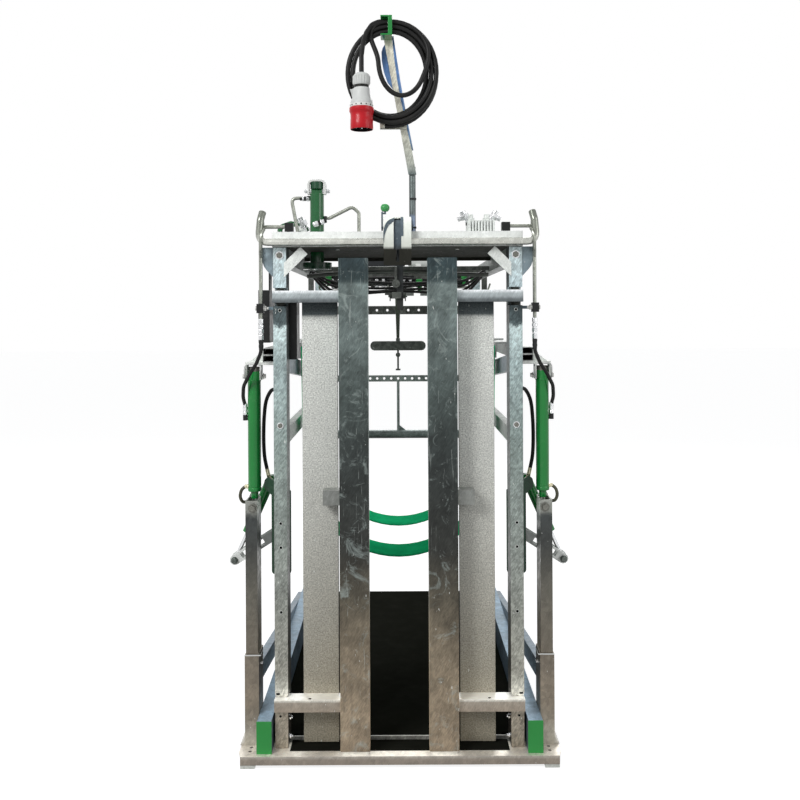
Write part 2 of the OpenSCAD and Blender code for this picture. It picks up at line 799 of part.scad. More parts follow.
// Door bar: C-profile with its mouth to the rear.
module door_bar() {
  color(galvanised) difference() {
    box([bar_x0, bar_y0, bar_z0], [bar_x1, bar_y0 + bar_d, bar_z1]);
    box([bar_x0 + 5, bar_y0 + 5, bar_z0 - 1], [bar_x1 - 5, bar_y0 + bar_d + 1, bar_z1 + 1]);
  }
}

// Two hinge arms and the middle tab.
module door_frame() {
  color(galvanised) {
    for (z = [low_arm_z, high_arm_z]) difference() {
      box([bar_x1, arm_y0, z], [post_x1 - 1, arm_y1, z + arm_h]);
      box([bar_x1 - 1, arm_y0 + 5, z + 5], [post_x1 - 6, arm_y1 - 5, z + arm_h - 5]);
      rod_z(hinge_x, hinge_y, z - 1, z + arm_h + 1, pin_dia + 2 * run_gap);
    }
    box([bar_x1, arm_y0 + 6, mid_tab_z - 7], [bar_x1 + 64, arm_y1, mid_tab_z + 49]);
  }
}

// Panel behind the arms: shallow C-profile with its mouth to the rear.
module door_panel() {
  color(pale_zinc) difference() {
    box([panel_x0, arm_y1, plate_top + 8], [panel_x0 + panel_w, arm_y1 + panel_d, high_arm_z + 32]);
    box([panel_x0 + 3, arm_y1 + 3, plate_top], [panel_x0 + panel_w - 3, arm_y1 + panel_d + 1, high_arm_z + 33]);
  }
}

module door_bar_left() { scale_side(-1) door_bar(); }
module door_frame_left() { scale_side(-1) door_frame(); }
module door_panel_left() { scale_side(-1) door_panel(); }
module door_bar_right() { scale_side(1) door_bar(); }
module door_frame_right() { scale_side(1) door_frame(); }
module door_panel_right() { scale_side(1) door_panel(); }

latch_w = 104;
latch_t = 5;
latch_axis = [chan_y0 - 11, roof_top + fascia_h + 15];
latch_arc = [chan_y0 + 9, roof_top + 38];
latch_r = 70;
latch_shaft = 10;

// Side outline of the bent sheet of the latch housing.
function latch_sheet(t) = concat(
  [[latch_arc.x + t, roof_top], [latch_arc.x + t, latch_arc.y + latch_r]],
  [for (a = [90:10:180]) latch_arc + latch_r * [cos(a), sin(a)]],
  [
    [latch_arc.x - latch_r, frame_h - 3], [latch_arc.x - latch_r + 30, frame_h - 71],
    [latch_arc.x - latch_r + 30 + t, frame_h - 70], [latch_arc.x - latch_r + t, frame_h - 2]
  ],
  [for (a = [180:-10:90]) latch_arc + (latch_r - t) * [cos(a), sin(a)]],
  [[latch_arc.x, roof_top]]
);

module latch_housing() {
  color(pale_zinc) difference() {
    union() {
      plate_yz(-latch_w / 2, latch_w / 2, latch_sheet(latch_t));
      for (x = [-latch_w / 2, latch_w / 2 - 4]) plate_yz(x, x + 4, concat(
        [[latch_arc.x, roof_top + fascia_h + 1]],
        [for (a = [90:13:168]) latch_arc + (latch_r - 1) * [cos(a), sin(a)]]
      ));
    }
    box([-14, front_y - 5, frame_h - 13], [14, latch_arc.x - 20, latch_arc.y + 2 * latch_r]);
    box([-6, front_y - 5, frame_h - 58], [6, latch_arc.x - 20, frame_h - 8]);
    rod_x(-60, 60, latch_axis.x, latch_axis.y, latch_shaft + 2 * run_gap);
  }
}

module latch_lever() {
  color([0.1, 0.12, 0.11]) {
    rod_x(-latch_w / 2 - 9, latch_w / 2 + 6, latch_axis.x, latch_axis.y, latch_shaft);
    plate_yz(-latch_w / 2 - 8.5, -latch_w / 2 - 2.5, [
      for (a = [180:30:360]) latch_axis + 12 * [cos(a), sin(a)],
      latch_axis + [2, 59], latch_axis + [-10, 59]
    ]);
    rod_x(latch_w / 2 + 2, latch_w / 2 + 8, latch_axis.x, latch_axis.y, 20);
    rod_x(-latch_w / 2 - 6, -latch_w / 2 + 10, latch_axis.x - 4, latch_axis.y + 53, 7);
    rod_z(-latch_w / 2 + 6, latch_axis.x - 4, latch_axis.y + 52, latch_axis.y + 60 - gap, 7);
  }
}

module latch_knob() {
  color([0.1, 0.6, 0.2]) translate([-latch_w / 2 + 6, latch_axis.x - 4, latch_axis.y + 74])
    intersection() {
      sphere(d = 34);
      cylinder(d = 40, h = 28, center = true);
    }
}

press_lug_z = press_top + 10;
press_foot = roof_z - 41;
elbow_y = press_y + 50;

module press_barrel() {
  color(green) {
    difference() {
      union() {
        rod_z(press_x, press_y, press_foot, press_top, press_dia);
        rod_z(press_x, press_y, roof_top, roof_top + 7, press_dia + 34);
        box([press_x - 22, press_y - 15, press_top - 1], [press_x + 22, press_y + 15, press_lug_z]);
        rod_x(press_x - 22, press_x + 22, press_y, press_lug_z, 30);
      }
      rod_z(press_x, press_y, press_foot + 18, press_top - 14, press_dia - 12);
      rod_z(press_x, press_y, press_foot - 1, press_foot + 19, 28 + 2 * run_gap);
      rod_x(press_x - 50, press_x + 50, press_y, press_lug_z, bolt_dia + hole_gap);
    }
    sweep(rounded([
      [-410, elbow_y, roof_top + 112], [-440, elbow_y, roof_top + 118],
      [-post_x1 - 15, elbow_y, roof_top + 102], [-post_x1 - 19, elbow_y, roof_z]
    ], 20, 3), 22, 12);
  }
}

module press_clevis() {
  color([0.9, 0.9, 0.88]) {
    for (x = [press_x - 38, press_x + 29])
      box([x, press_y - 18, press_lug_z - 14], [x + 9, press_y + 18, press_lug_z + 42]);
    box([press_x - 38, press_y - 18, press_lug_z + 41], [press_x + 38, press_y + 18, press_lug_z + 50]);
    rod_x(press_x - 44, press_x + 54, press_y, press_lug_z, bolt_dia);
    rod_x(press_x + 40, press_x + 50, press_y, press_lug_z, 22);
  }
}

module press_rod() {
  color(dark_green) {
    rod_z(press_x, press_y, press_foot - 16, press_top - 30, 28);
    rod_z(press_x, press_y, press_top - 50, press_top - 30, press_dia - 12 - 2 * run_gap);
    rod_z(press_x, press_y, press_foot - 29, press_foot - 1, 118);
  }
}

pipe_dia = 12;
pipe_y = chan_y0 - 6;
pipe_x = handle_x - 4;
down_z = roof_top + 71;
clamp_z = frame_h - 254;
hose_top = lift_z + 83;
hose_dia = 14;
high_port_z = press_top - 18;
low_port_z = press_top - 100;
port_z = barrel_z1 - 147;
port_x = cyl_x + barrel_dia / 2 + 12;

module hydraulic_pipes() {
  down = [
    [pipe_x - 92, pipe_y, down_z], [pipe_x, pipe_y, down_z], [pipe_x, pipe_y, hose_top + 55]
  ];
  feed = [
    [press_x - 40, press_y, high_port_z], [-433, press_y, high_port_z],
    [-404, press_y, roof_top + 60], [-404, press_y, roof_top + 14]
  ];
  back = [
    [press_x + 40, press_y, low_port_z], [press_x + 52, press_y, low_port_z],
    [-184, press_y, roof_top + 180], [-157, press_y, roof_top + 156],
    [-157, press_y, roof_top + 14]
  ];
  color(chrome) {
    both_sides() sweep(rounded(down, 22), pipe_dia);
    sweep(rounded(feed, 20), pipe_dia);
    sweep(rounded(back, 20), pipe_dia);
  }
}

module pipe_fittings() {
  color([0.16, 0.17, 0.17]) {
    both_sides() {
      difference() {
        box([pipe_x - 16, pipe_y - 15, clamp_z], [pipe_x + 24, pipe_y + 13, clamp_z + 29]);
        rod_z(pipe_x, pipe_y, clamp_z - 1, clamp_z + 30, pipe_dia + 2 * gap);
      }
      rod_x(post_x1, pipe_x - 16, chan_y0 + 8, clamp_z + 14, 9);
      box([pipe_x - 124, roof_y0, roof_top + fascia_h], [pipe_x - 92, pipe_y + 16, down_z + 14]);
      rod_z(pipe_x, pipe_y, hose_top, hose_top + 55, 19);
      rod_z(pipe_x, pipe_y, hose_top + 20, hose_top + 30, 24);
    }
    for (p = [[-404, press_y], [-157, press_y]]) rod_z(p.x, p.y, roof_top, roof_top + 14, 22);
    rod_x(press_x - 40, press_x - press_dia / 2, press_y, high_port_z, 18);
    rod_x(press_x + press_dia / 2, press_x + 40, press_y, low_port_z, 18);
  }
}

module hose_ports() {
  color([0.16, 0.17, 0.17]) both_sides() {
    rod_x(cyl_x + barrel_dia / 2, port_x, cyl_y, port_z, 14);
    rod_z(port_x, cyl_y, port_z - 9, port_z + 14, 18);
  }
}

module lift_hoses() {
  route = [
    [pipe_x, pipe_y, hose_top], [pipe_x, pipe_y, hose_top - 40], [cyl_x - 21, pipe_y + 5, 1500],
    [cyl_x + 10, pipe_y + 22, 1455], [cyl_x + 36, cyl_y - 33, 1410], [cyl_x + 42, cyl_y - 9, 1365],
    [port_x, cyl_y, 1335], [port_x, cyl_y, port_z + 14]
  ];
  color(rubber) both_sides() sweep(rounded(route, 70), hose_dia, 10);
}

valve_y = press_y + 5;
valve_top = roof_top + 118;

module valve_blocks() {
  color(pale_zinc) {
    difference() {
      box([284, valve_y - 55, roof_top], [393, valve_y + 55, valve_top]);
      for (x = [296:12:384])
        box([x, valve_y - 56, roof_top + 46], [x + 4, valve_y + 56, valve_top + 1]);
    }
    box([-414, press_y + 16, roof_top], [press_x - press_dia / 2 - 19, press_y + 110, roof_top + 86]);
    for (x = [298, 366]) {
      rod_z(x, valve_y, roof_top + 45, valve_top + 28, 24);
      translate([x, valve_y, valve_top + 2]) cylinder(d = 34, h = 12, $fn = 6);
    }
    rod_z(-392, elbow_y, roof_top + 85, roof_top + 132, 30);
  }
}

pack_y = -front_y - 265;

module power_pack() {
  color([0.1, 0.12, 0.12]) {
    box([-300, pack_y - 85, roof_top], [40, pack_y + 85, roof_top + 142]);
    rod_x(60, 310, pack_y, roof_top + 70, 132);
    rod_x(39, 61, pack_y, roof_top + 70, 60);
    for (x = [100, 240]) box([x, pack_y - 45, roof_top], [x + 30, pack_y + 45, roof_top + 21]);
  }
}

mast_x = 58;
mast_y = chan_y0 + 44;
mast_top = roof_top + 813;
mast_lean = 96;
mast_bar_y = mast_y - 12;
coil_x = -22;
coil_z = roof_top + 645;

module mast() {
  color(galvanised) {
    box([mast_x - 24, mast_y - 24, roof_top], [mast_x + 24, mast_y + 24, roof_top + 6]);
    rod_z(mast_x, mast_y, roof_top + 5, roof_top + 303, 25);
    plate_xz(mast_bar_y - 8, mast_bar_y, [
      [mast_x - 15, roof_top + 271], [mast_x + 15, roof_top + 271],
      [mast_x + 15 - mast_lean, mast_top], [mast_x - 15 - mast_lean, mast_top]
    ]);
    box([coil_x - 42, mast_bar_y - 14, coil_z - coil_b - cable_dia / 2],
        [mast_x - 20, mast_bar_y - 8, coil_z - coil_b + cable_dia / 2]);
    box([coil_x - 42, coil_y[0] - 11, coil_z - coil_b - cable_dia / 2 - 0.3],
        [coil_x - 24, mast_bar_y - 13, coil_z - coil_b + cable_dia / 2 + 0.3]);
  }
}

coil_a = (coil_w - cable_dia) / 2;
coil_b = (coil_h - cable_dia) / 2;
coil_pitch = cable_dia + 0.9;
coil_y = [mast_bar_y - 30, mast_bar_y - 50];
coil_turns = coil_loops - 0.5;
hook_x = mast_x - mast_lean;

module cable_hook() {
  under_coil = [for (p = coil_path) if (abs(p.x - hook_x) < 31 && p.z > coil_z) p.z];
  hook_z = min(under_coil) - cable_dia / 2 - gap;
  lip_y = coil_y[1] - 22;
  color(green) {
    box([hook_x - 22, mast_bar_y - 14, hook_z - 6], [hook_x + 22, mast_bar_y - 8, mast_top + 43]);
    box([hook_x - 22, lip_y - 6, hook_z - 6], [hook_x + 22, mast_bar_y - 13, hook_z]);
    box([hook_x + 6, lip_y - 6, hook_z - 6], [hook_x + 22, lip_y, mast_top + 43]);
    box([hook_x - 22, lip_y - 6, mast_top + 37], [hook_x + 22, mast_bar_y - 13, mast_top + 43]);
  }
}

// Point of the coil after a number of turns: two layers that wind in and out again.
function coil_point(t) =
  let (
    inset = coil_pitch * min(t, coil_turns - t),
    mid = coil_turns / 2,
    k = max(0, min(1, (t - mid) * 2 + 0.5)),
    y = coil_y[0] + (coil_y[1] - coil_y[0]) * k * k * (3 - 2 * k)
  ) [coil_x + (coil_a - inset) * sin(360 * t), y, coil_z - (coil_b - inset) * cos(360 * t)];
coil_steps = coil_turns * 24;
coil_path = [
  [coil_x - 24, coil_y[0], coil_z - coil_b],
  for (i = [0:coil_steps]) coil_point(i / 24),
  [coil_x - 20, coil_y[1], coil_z + coil_b]
];
coil_gap = min([
  for (i = [1:len(coil_path) - 2]) for (j = [i + 12:1:len(coil_path) - 2])
    norm(coil_path[i] - coil_path[j])
]) - cable_dia;
echo(coil_gap = coil_gap);

module cord_coil() {
  color(rubber) sweep(coil_path, cable_dia, 6);
}

plug_at = [-130, coil_y[1] - 57, coil_z - 11];
lead_offsets = [
  [-42, 0, 194], [-66, 0, 194], [-92, -7, 181], [-112, -25, 146], [-124, -45, 101],
  [-130, -56, 51], [-130, -57, 11]
];
lead_route = concat([for (p = lead_offsets) p + [0, coil_y[1], coil_z]], [plug_at]);

module cord_lead() {
  color(rubber) sweep(rounded(lead_route, 30, 3), cable_dia, 12);
}

module plug_shell() {
  color([0.75, 0.76, 0.78]) translate(plug_at) rotate_extrude() polygon([
    [0, 0], [18, 0], [31, -8], [31, -50], [44, -54], [44, -120], [0, -120]
  ]);
}

module plug_collar() {
  color([0.75, 0.03, 0.06]) translate(plug_at) {
    rotate_extrude() polygon([
      [0, -120], [46, -120], [46, -151], [plug_dia / 2, -155], [plug_dia / 2, -212],
      [plug_dia / 2 - 4, -212], [plug_dia / 2 - 4, -165], [0, -165]
    ]);
    for (a = [18:72:306]) translate([22 * cos(a), 22 * sin(a), -205]) cylinder(d = 7, h = 41);
  }
}

module control_boxes() {
  color(rubber) {
    box([-570, press_y, frame_h - 368], [-lift_x1 - 5, press_y + 220, frame_h - 153]);
    box([-540, press_y + 90, frame_h - 154], [-534, press_y + 150, frame_h - 45]);
    box([-540, press_y + 90, frame_h - 45], [-post_x1, press_y + 150, frame_h - 39]);
    box([-guard_x0 + 1, post_y1, frame_h - 428], [-guard_x0 + 38, post_y1 + 98, frame_h - 203]);
  }
}

base_plates();
base_rails();
rail_end_caps();
foot_pads();
floor_deck();
floor_mat();
corner_posts();
hinge_channels();
roof_side_beams();
roof_sheet();
roof_front_rail();
corner_plates();
side_braces();
guard_rails();
outer_sleeves();
outer_posts();
rear_top_beam();
pins_and_bolts();
foot_rest_brackets();
latch_housing();
latch_lever();
latch_knob();
press_barrel();
press_clevis();
press_rod();
hydraulic_pipes();
pipe_fittings();
lift_hoses();
valve_blocks();
power_pack();
mast();
cable_hook();
cord_coil();
cord_lead();
plug_shell();
plug_collar();
door_bar_left();
door_frame_left();
door_panel_left();
door_bar_right();
door_frame_right();
door_panel_right();
lift_rails();
lift_brackets();
lift_barrels();
lift_rods();
lift_guide_bars();
belly_belts();
foot_arm_left();
foot_barrel_left();
foot_rod_left();
foot_arm_right();
foot_barrel_right();
foot_rod_right();
hose_ports();
rear_gate();
winch_drum();
winch_chain();
leg_spreader();
control_boxes();
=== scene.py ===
"""Looks of the hoof trimming chute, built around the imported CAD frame. Everything is in metres."""

import json
import math

import bmesh
import bpy
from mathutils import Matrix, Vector


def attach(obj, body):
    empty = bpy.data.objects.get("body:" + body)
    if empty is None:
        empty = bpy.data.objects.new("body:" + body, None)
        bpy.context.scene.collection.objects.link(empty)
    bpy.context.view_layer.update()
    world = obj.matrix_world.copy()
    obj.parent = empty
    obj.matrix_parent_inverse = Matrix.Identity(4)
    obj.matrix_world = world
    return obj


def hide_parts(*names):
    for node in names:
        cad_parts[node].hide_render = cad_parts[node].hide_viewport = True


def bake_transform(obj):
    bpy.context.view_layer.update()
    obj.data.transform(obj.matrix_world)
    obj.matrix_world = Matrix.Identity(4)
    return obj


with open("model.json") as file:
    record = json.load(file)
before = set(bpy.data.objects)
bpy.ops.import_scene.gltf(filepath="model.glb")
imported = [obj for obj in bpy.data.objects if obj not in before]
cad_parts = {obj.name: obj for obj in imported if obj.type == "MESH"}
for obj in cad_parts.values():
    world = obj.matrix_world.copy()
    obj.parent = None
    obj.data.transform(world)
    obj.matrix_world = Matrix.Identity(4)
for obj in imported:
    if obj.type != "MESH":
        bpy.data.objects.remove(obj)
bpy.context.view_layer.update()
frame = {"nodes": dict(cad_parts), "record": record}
nodes = frame["nodes"]
body_of_node = {n: b for b, ns in frame["record"]["behaviour"]["bodies"].items() for n in ns}
slot_of_node = {p["node"]: p["material_slot"] for p in frame["record"]["subparts"]}

# Camera: eye height, level, in front of the head gate.
CAMERA_AT = (0.0, -4.4, 1.68)
FOCAL_MM = 41.3
SHIFT_X, SHIFT_Y = 0.0027, -0.106
ROLL_DEG = 0.28


def show(name, data):
    """A new object in the scene."""
    item = bpy.data.objects.new(name, data)
    bpy.context.scene.collection.objects.link(item)
    return item


camera = show("camera", bpy.data.cameras.new("camera"))
camera.location = CAMERA_AT
camera.rotation_euler = (math.pi / 2, math.radians(ROLL_DEG), 0)
camera.data.lens = FOCAL_MM
camera.data.sensor_width = 36
camera.data.shift_x = SHIFT_X
camera.data.shift_y = SHIFT_Y
bpy.context.scene.camera = camera


# Materials

MATERIALS = {}


class Tree:
    """Small helper around a node tree."""

    def __init__(self, tree):
        self.tree = tree

    def feed(self, value, socket):
        """Links an output to a socket or sets the socket to a value. A colour gets its alpha here."""
        if isinstance(value, bpy.types.NodeSocket):
            self.tree.links.new(value, socket)
        else:
            socket.default_value = (*value, 1.0) if socket.type == "RGBA" else value

    def add(self, kind, inputs=None, **values):
        """A new node with its settings and what goes into its sockets."""
        node = self.tree.nodes.new(kind)
        for key, value in values.items():
            setattr(node, key, value)
        for key, value in (inputs or {}).items():
            self.feed(value, node.inputs[key])
        return node


class Shader(Tree):
    """A new material with a Principled BSDF, kept in MATERIALS under its name."""

    def __init__(self, name):
        material = bpy.data.materials.new(name)
        material.use_nodes = True
        super().__init__(material.node_tree)
        MATERIALS[name] = material
        self.bsdf = self.tree.nodes["Principled BSDF"]
        self.coord = self.add("ShaderNodeTexCoord").outputs["Object"]

    def set(self, **values):
        for key, value in values.items():
            self.bsdf.inputs[key.replace("_", " ")].default_value = value

    def stretched(self, scale):
        return self.add("ShaderNodeMapping", {"Scale": scale, "Vector": self.coord}).outputs["Vector"]

    def noise(self, scale, detail, rough=0.55, stretch=None, distortion=0.0):
        at = self.stretched(stretch) if stretch else self.coord
        sockets = {"Scale": scale, "Detail": detail, "Roughness": rough, "Distortion": distortion,
            "Vector": at}
        return self.add("ShaderNodeTexNoise", sockets).outputs["Fac"]

    def cells(self, scale, output="Color"):
        return self.add("ShaderNodeTexVoronoi", {"Scale": scale, "Vector": self.coord}).outputs[output]

    def ramp(self, value, low, high, out_low=0.0, out_high=1.0):
        sockets = {"From Min": low, "From Max": high, "To Min": out_low, "To Max": out_high,
            "Value": value}
        return self.add("ShaderNodeMapRange", sockets).outputs["Result"]

    def swing(self, value, low, high, amount):
        """A factor that goes as far below 1 as above it."""
        return self.ramp(value, low, high, 1.0 - amount, 1.0 + amount)

    def mix(self, factor, a, b):
        return self.add("ShaderNodeMix", {"Factor": factor, "A": a, "B": b},
            data_type="RGBA").outputs["Result"]

    def math(self, operation, a, b):
        return self.add("ShaderNodeMath", {0: a, 1: b}, operation=operation).outputs[0]

    def times(self, a, b):
        return self.math("MULTIPLY", a, b)

    def split(self, vector):
        return self.add("ShaderNodeSeparateXYZ", {0: vector}).outputs

    def bump(self, value, strength, distance):
        node = self.add("ShaderNodeBump", {"Strength": strength, "Distance": distance, "Height": value})
        self.feed(node.outputs["Normal"], self.bsdf.inputs["Normal"])

    def color(self, value):
        self.feed(value, self.bsdf.inputs["Base Color"])

    def rough(self, value):
        self.feed(value, self.bsdf.inputs["Roughness"])


def srgb(*levels):
    """Levels from 0 to 255 as the linear numbers that a shader takes."""
    return tuple((v / 255 / 12.92) if v <= 10 else ((v / 255 + 0.055) / 1.055) ** 2.4 for v in levels)


TALLEST = 2.8
WIPE_LEAN = 28
WIPE_SIZE = (1 / 150.0, 1 / 150.0, 1 / 32.0)


def tone(s, stops, dip, wobble):
    """Colour by height from (height, levels) stops, which paint bands of light, shadow and reflection.
    dip lowers a step in the middle of a post into a pointed painted shadow edge.
    """
    z = s.split(s.coord)["Z"]
    # wobble roughens the edges of the painted bands.
    if wobble:
        z = s.math("ADD", z, s.ramp(s.noise(16.0, 5.0, 0.7), 0.3, 0.7, -wobble, wobble))
    # dip: the painted shadow edge comes to a point over the middle of the post.
    if dip:
        centre, half, depth = dip
        across = s.math("ABSOLUTE", s.split(s.coord)["X"], 0.0)
        off = s.math("ABSOLUTE", s.math("SUBTRACT", across, centre), 0.0)
        z = s.math("ADD", z, s.ramp(off, 0.0, half, depth, 0.0))
        z = s.math("ADD", z, s.ramp(s.noise(150.0, 1.0), 0.4, 0.6, -0.003, 0.003))
    ramp = s.add("ShaderNodeValToRGB", {"Fac": s.math("DIVIDE", z, TALLEST)})
    ends = ramp.color_ramp.elements
    for index, (height, levels) in enumerate(stops):
        item = ends[index] if index < 2 else ends.new(height / TALLEST)
        item.position = height / TALLEST
        item.color = (*srgb(*levels), 1.0)
    return ramp.outputs["Color"]


def zinc(name, stops, contrast, rough=(0.32, 0.5), metallic=0.5, spangle=70.0, speckle=0.0, side=1.0,
        top=1.25, under=0.45, dip=None, wobble=0.0, streak=0.25, grain=0.0, clouds=0.25, scratch=0.0,
        gloss=0.5):
    """Hot-dip zinc: crystal spangle, cloudy drips, speckles, grain and diagonal wipe marks, over a colour
    by height whose stops paint bands of light, shadow and reflection. top paints light on up-facing
    faces, under paints shade on down-facing faces, and side scales faces that look sideways.
    """
    s = Shader(name)
    s.set(Metallic=metallic, Specular_IOR_Level=gloss)
    base = tone(s, stops, dip, wobble)
    crystal = s.add("ShaderNodeSeparateColor", {0: s.cells(spangle)}).outputs
    drips = s.noise(3.2, 6.0, 0.65, stretch=(9.0, 9.0, 1.2))
    cloud = s.noise(8.0, 6.0, 0.62)
    light = s.swing(crystal["Red"], 0.0, 1.0, contrast)
    light = s.times(light, s.swing(cloud, 0.3, 0.7, clouds))
    light = s.times(light, s.swing(drips, 0.35, 0.7, -clouds / 2))
    if streak:
        lean = {"Rotation": (0.0, math.radians(WIPE_LEAN), 0.0), "Scale": WIPE_SIZE, "Vector": s.coord}
        wipe = s.add("ShaderNodeMapping", lean, vector_type="TEXTURE").outputs["Vector"]
        marks = s.add("ShaderNodeTexNoise", {"Scale": 1.6, "Detail": 4.0, "Vector": wipe}).outputs["Fac"]
        light = s.times(light, s.swing(marks, 0.3, 0.7, streak))
    if grain:
        light = s.times(light, s.swing(s.noise(190.0, 3.0, 0.7), 0.36, 0.64, grain))
    # Painted light and shade: top lightens up-facing faces, under darkens down-facing faces, side scales
    # faces that look sideways.
    normal = s.split(s.add("ShaderNodeTexCoord").outputs["Normal"])
    light = s.times(light, s.ramp(normal["Z"], 0.5, 0.9, 1.0, top))
    light = s.times(light, s.ramp(normal["Z"], -0.5, -0.9, 1.0, under))
    if side != 1.0:
        light = s.times(light, s.ramp(s.math("ABSOLUTE", normal["X"], 0.0), 0.5, 0.9, 1.0, side))
    base = s.add("ShaderNodeVectorMath", {0: base, "Scale": light}, operation="SCALE").outputs[0]
    if speckle:
        dots = s.cells(330.0, "Distance")
        mask = s.times(s.ramp(dots, 0.28, 0.1), s.ramp(s.noise(120.0, 2.0), 0.46, 0.62))
        base = s.mix(s.times(mask, speckle), base, srgb(60, 60, 56))
    if scratch:
        marks = s.noise(11.0, 7.0, 0.72, distortion=1.6)
        base = s.mix(s.ramp(marks, 0.55, 0.68, 0.0, scratch), base, srgb(170, 182, 178))
        lines = s.noise(5.0, 3.0, 0.6, stretch=(30.0, 30.0, 1.6), distortion=0.8)
        base = s.mix(s.ramp(lines, 0.66, 0.7, 0.0, scratch * 0.7), base, srgb(196, 204, 200))
    nicks = s.noise(42.0, 2.0, 0.5, stretch=(3.0, 3.0, 1.0))
    base = s.mix(s.ramp(nicks, 0.735, 0.76, 0.0, 0.75), base, srgb(225, 228, 224))
    s.color(base)
    dull = s.ramp(cloud, 0.3, 0.7, -0.04, 0.08)
    s.rough(s.math("ADD", s.ramp(crystal["Green"], 0.0, 1.0, *rough), dull))
    s.bump(s.math("ADD", s.noise(220.0, 3.0), s.times(drips, 2.0)), 0.2, 0.0008)


DUST = (0.5, 0.5, 0.46)


def paint(name, color, rough, wear, coat):
    """Paint with orange peel, darker clouds and patches of dust."""
    s = Shader(name)
    s.set(Coat_Weight=coat, Coat_Roughness=0.1, Specular_IOR_Level=0.25, Coat_IOR=1.35)
    cloud = s.noise(7.0, 5.0, 0.6)
    base = s.mix(s.ramp(cloud, 0.3, 0.75, 0.0, 0.35), color, tuple(c * 0.7 for c in color))
    base = s.mix(s.ramp(s.noise(24.0, 6.0, 0.7), 0.55, 0.75, 0.0, wear), base, DUST)
    s.color(base)
    s.rough(s.ramp(s.noise(30.0, 4.0), 0.3, 0.7, rough * 0.8, rough * 1.3))
    s.bump(s.noise(420.0, 2.0), 0.08, 0.0005)


def rubber(name, color=(0.018, 0.018, 0.018), rough=0.6, scale=900.0, strength=0.25, dust=0.12,
        gloss=0.16):
    """Dark rubber with a fine grain and some dust."""
    s = Shader(name)
    s.set(Specular_IOR_Level=gloss)
    s.color(s.mix(s.ramp(s.noise(14.0, 6.0, 0.65), 0.45, 0.8, 0.0, dust), color, (0.25, 0.24, 0.21)))
    s.rough(s.ramp(s.noise(40.0, 3.0), 0.3, 0.7, rough * 0.85, rough * 1.2))
    s.bump(s.noise(scale, 2.0), strength, 0.0006)


def plastic(name, color, rough, coat=0.2):
    """Moulded plastic with darker clouds."""
    s = Shader(name)
    s.set(Coat_Weight=coat, Specular_IOR_Level=0.22, Coat_IOR=1.3)
    s.color(s.mix(s.ramp(s.noise(12.0, 5.0), 0.35, 0.75, 0.0, 0.3), color,
        tuple(c * 0.78 for c in color)))
    s.rough(s.ramp(s.noise(60.0, 3.0), 0.3, 0.7, rough * 0.85, rough * 1.2))
    s.bump(s.noise(1400.0, 2.0), 0.05, 0.0004)


BRUSHED = (60.0, 60.0, 4.0)


def bright(name, color=(0.72, 0.73, 0.74), rough=0.16, metallic=1.0):
    """Bare or plated steel with fine upright streaks."""
    s = Shader(name)
    s.set(Metallic=metallic)
    s.color(s.mix(s.ramp(s.noise(18.0, 5.0), 0.4, 0.75, 0.0, 0.35), color, tuple(c * 0.6 for c in color)))
    s.rough(s.ramp(s.noise(12.0, 3.0, stretch=BRUSHED), 0.3, 0.7, rough * 0.7, rough * 1.5))


def woven(name, color, dark):
    """Webbing: fine ribs side by side along y, with patches of dirt."""
    s = Shader(name)
    weave = {"Scale": 70.0, "Distortion": 0.6, "Vector": s.coord}
    ribs = s.add("ShaderNodeTexWave", weave, wave_type="BANDS", bands_direction="Y").outputs["Fac"]
    dirt = s.ramp(s.noise(9.0, 6.0, 0.7), 0.4, 0.75, 0.0, 0.5)
    base = s.mix(s.ramp(ribs, 0.0, 1.0, 0.0, 0.35), color, dark)
    s.color(s.mix(dirt, base, tuple(c * 0.8 for c in dark)))
    s.set(Roughness=0.62, Specular_IOR_Level=0.0)
    s.bump(ribs, 0.35, 0.0008)


# In the looks below, top and under paint light on up-facing faces and shade on down-facing ones, and the
# height stops paint bands of light, shadow and reflection.
zinc("galvanised", [(0.0, (150, 150, 144)), (2.0, (172, 176, 174))], 0.18, speckle=0.3)
# Painted shade and light on the front posts and hinge channels: a shadow band from 1.652 m to 1.72 m
# under the upper arm, a lit band just above the lower arm, a pointed shadow edge from dip, and darker
# side faces.
zinc("post", [(0.05, (150, 142, 128)), (0.19, (146, 138, 124)), (0.236, (218, 216, 206)),
    (0.28, (192, 191, 180)), (0.34, (146, 145, 136)), (0.7, (140, 145, 139)), (1.2, (134, 147, 143)),
    (1.5, (154, 170, 170)), (1.645, (184, 200, 200)), (1.652, (74, 86, 88)), (1.72, (62, 72, 74)),
    (1.78, (172, 188, 192)), (1.93, (182, 196, 198))], 0.2, side=0.22, dip=(0.446, 0.025, 0.014),
    streak=0.34, spangle=110.0, gloss=0.35)
# Painted shade on the outer posts: a dark band from 0.8 m up to a sharp edge at 0.915 m; side lightens
# their side faces as painted light.
zinc("outer_post", [(0.2, (122, 112, 98)), (0.6, (96, 93, 84)), (0.8, (58, 60, 58)),
    (0.915, (54, 58, 58)), (0.93, (132, 134, 128)), (1.0, (150, 152, 146))], 0.12, side=1.9, metallic=0.4,
    streak=0.12, wobble=0.008, spangle=60.0)
zinc("sleeve", [(0.05, (190, 186, 174)), (0.14, (140, 132, 118)), (0.2, (124, 114, 100)),
    (0.4, (118, 110, 98))], 0.14, side=0.8, streak=0.1, speckle=0.3)
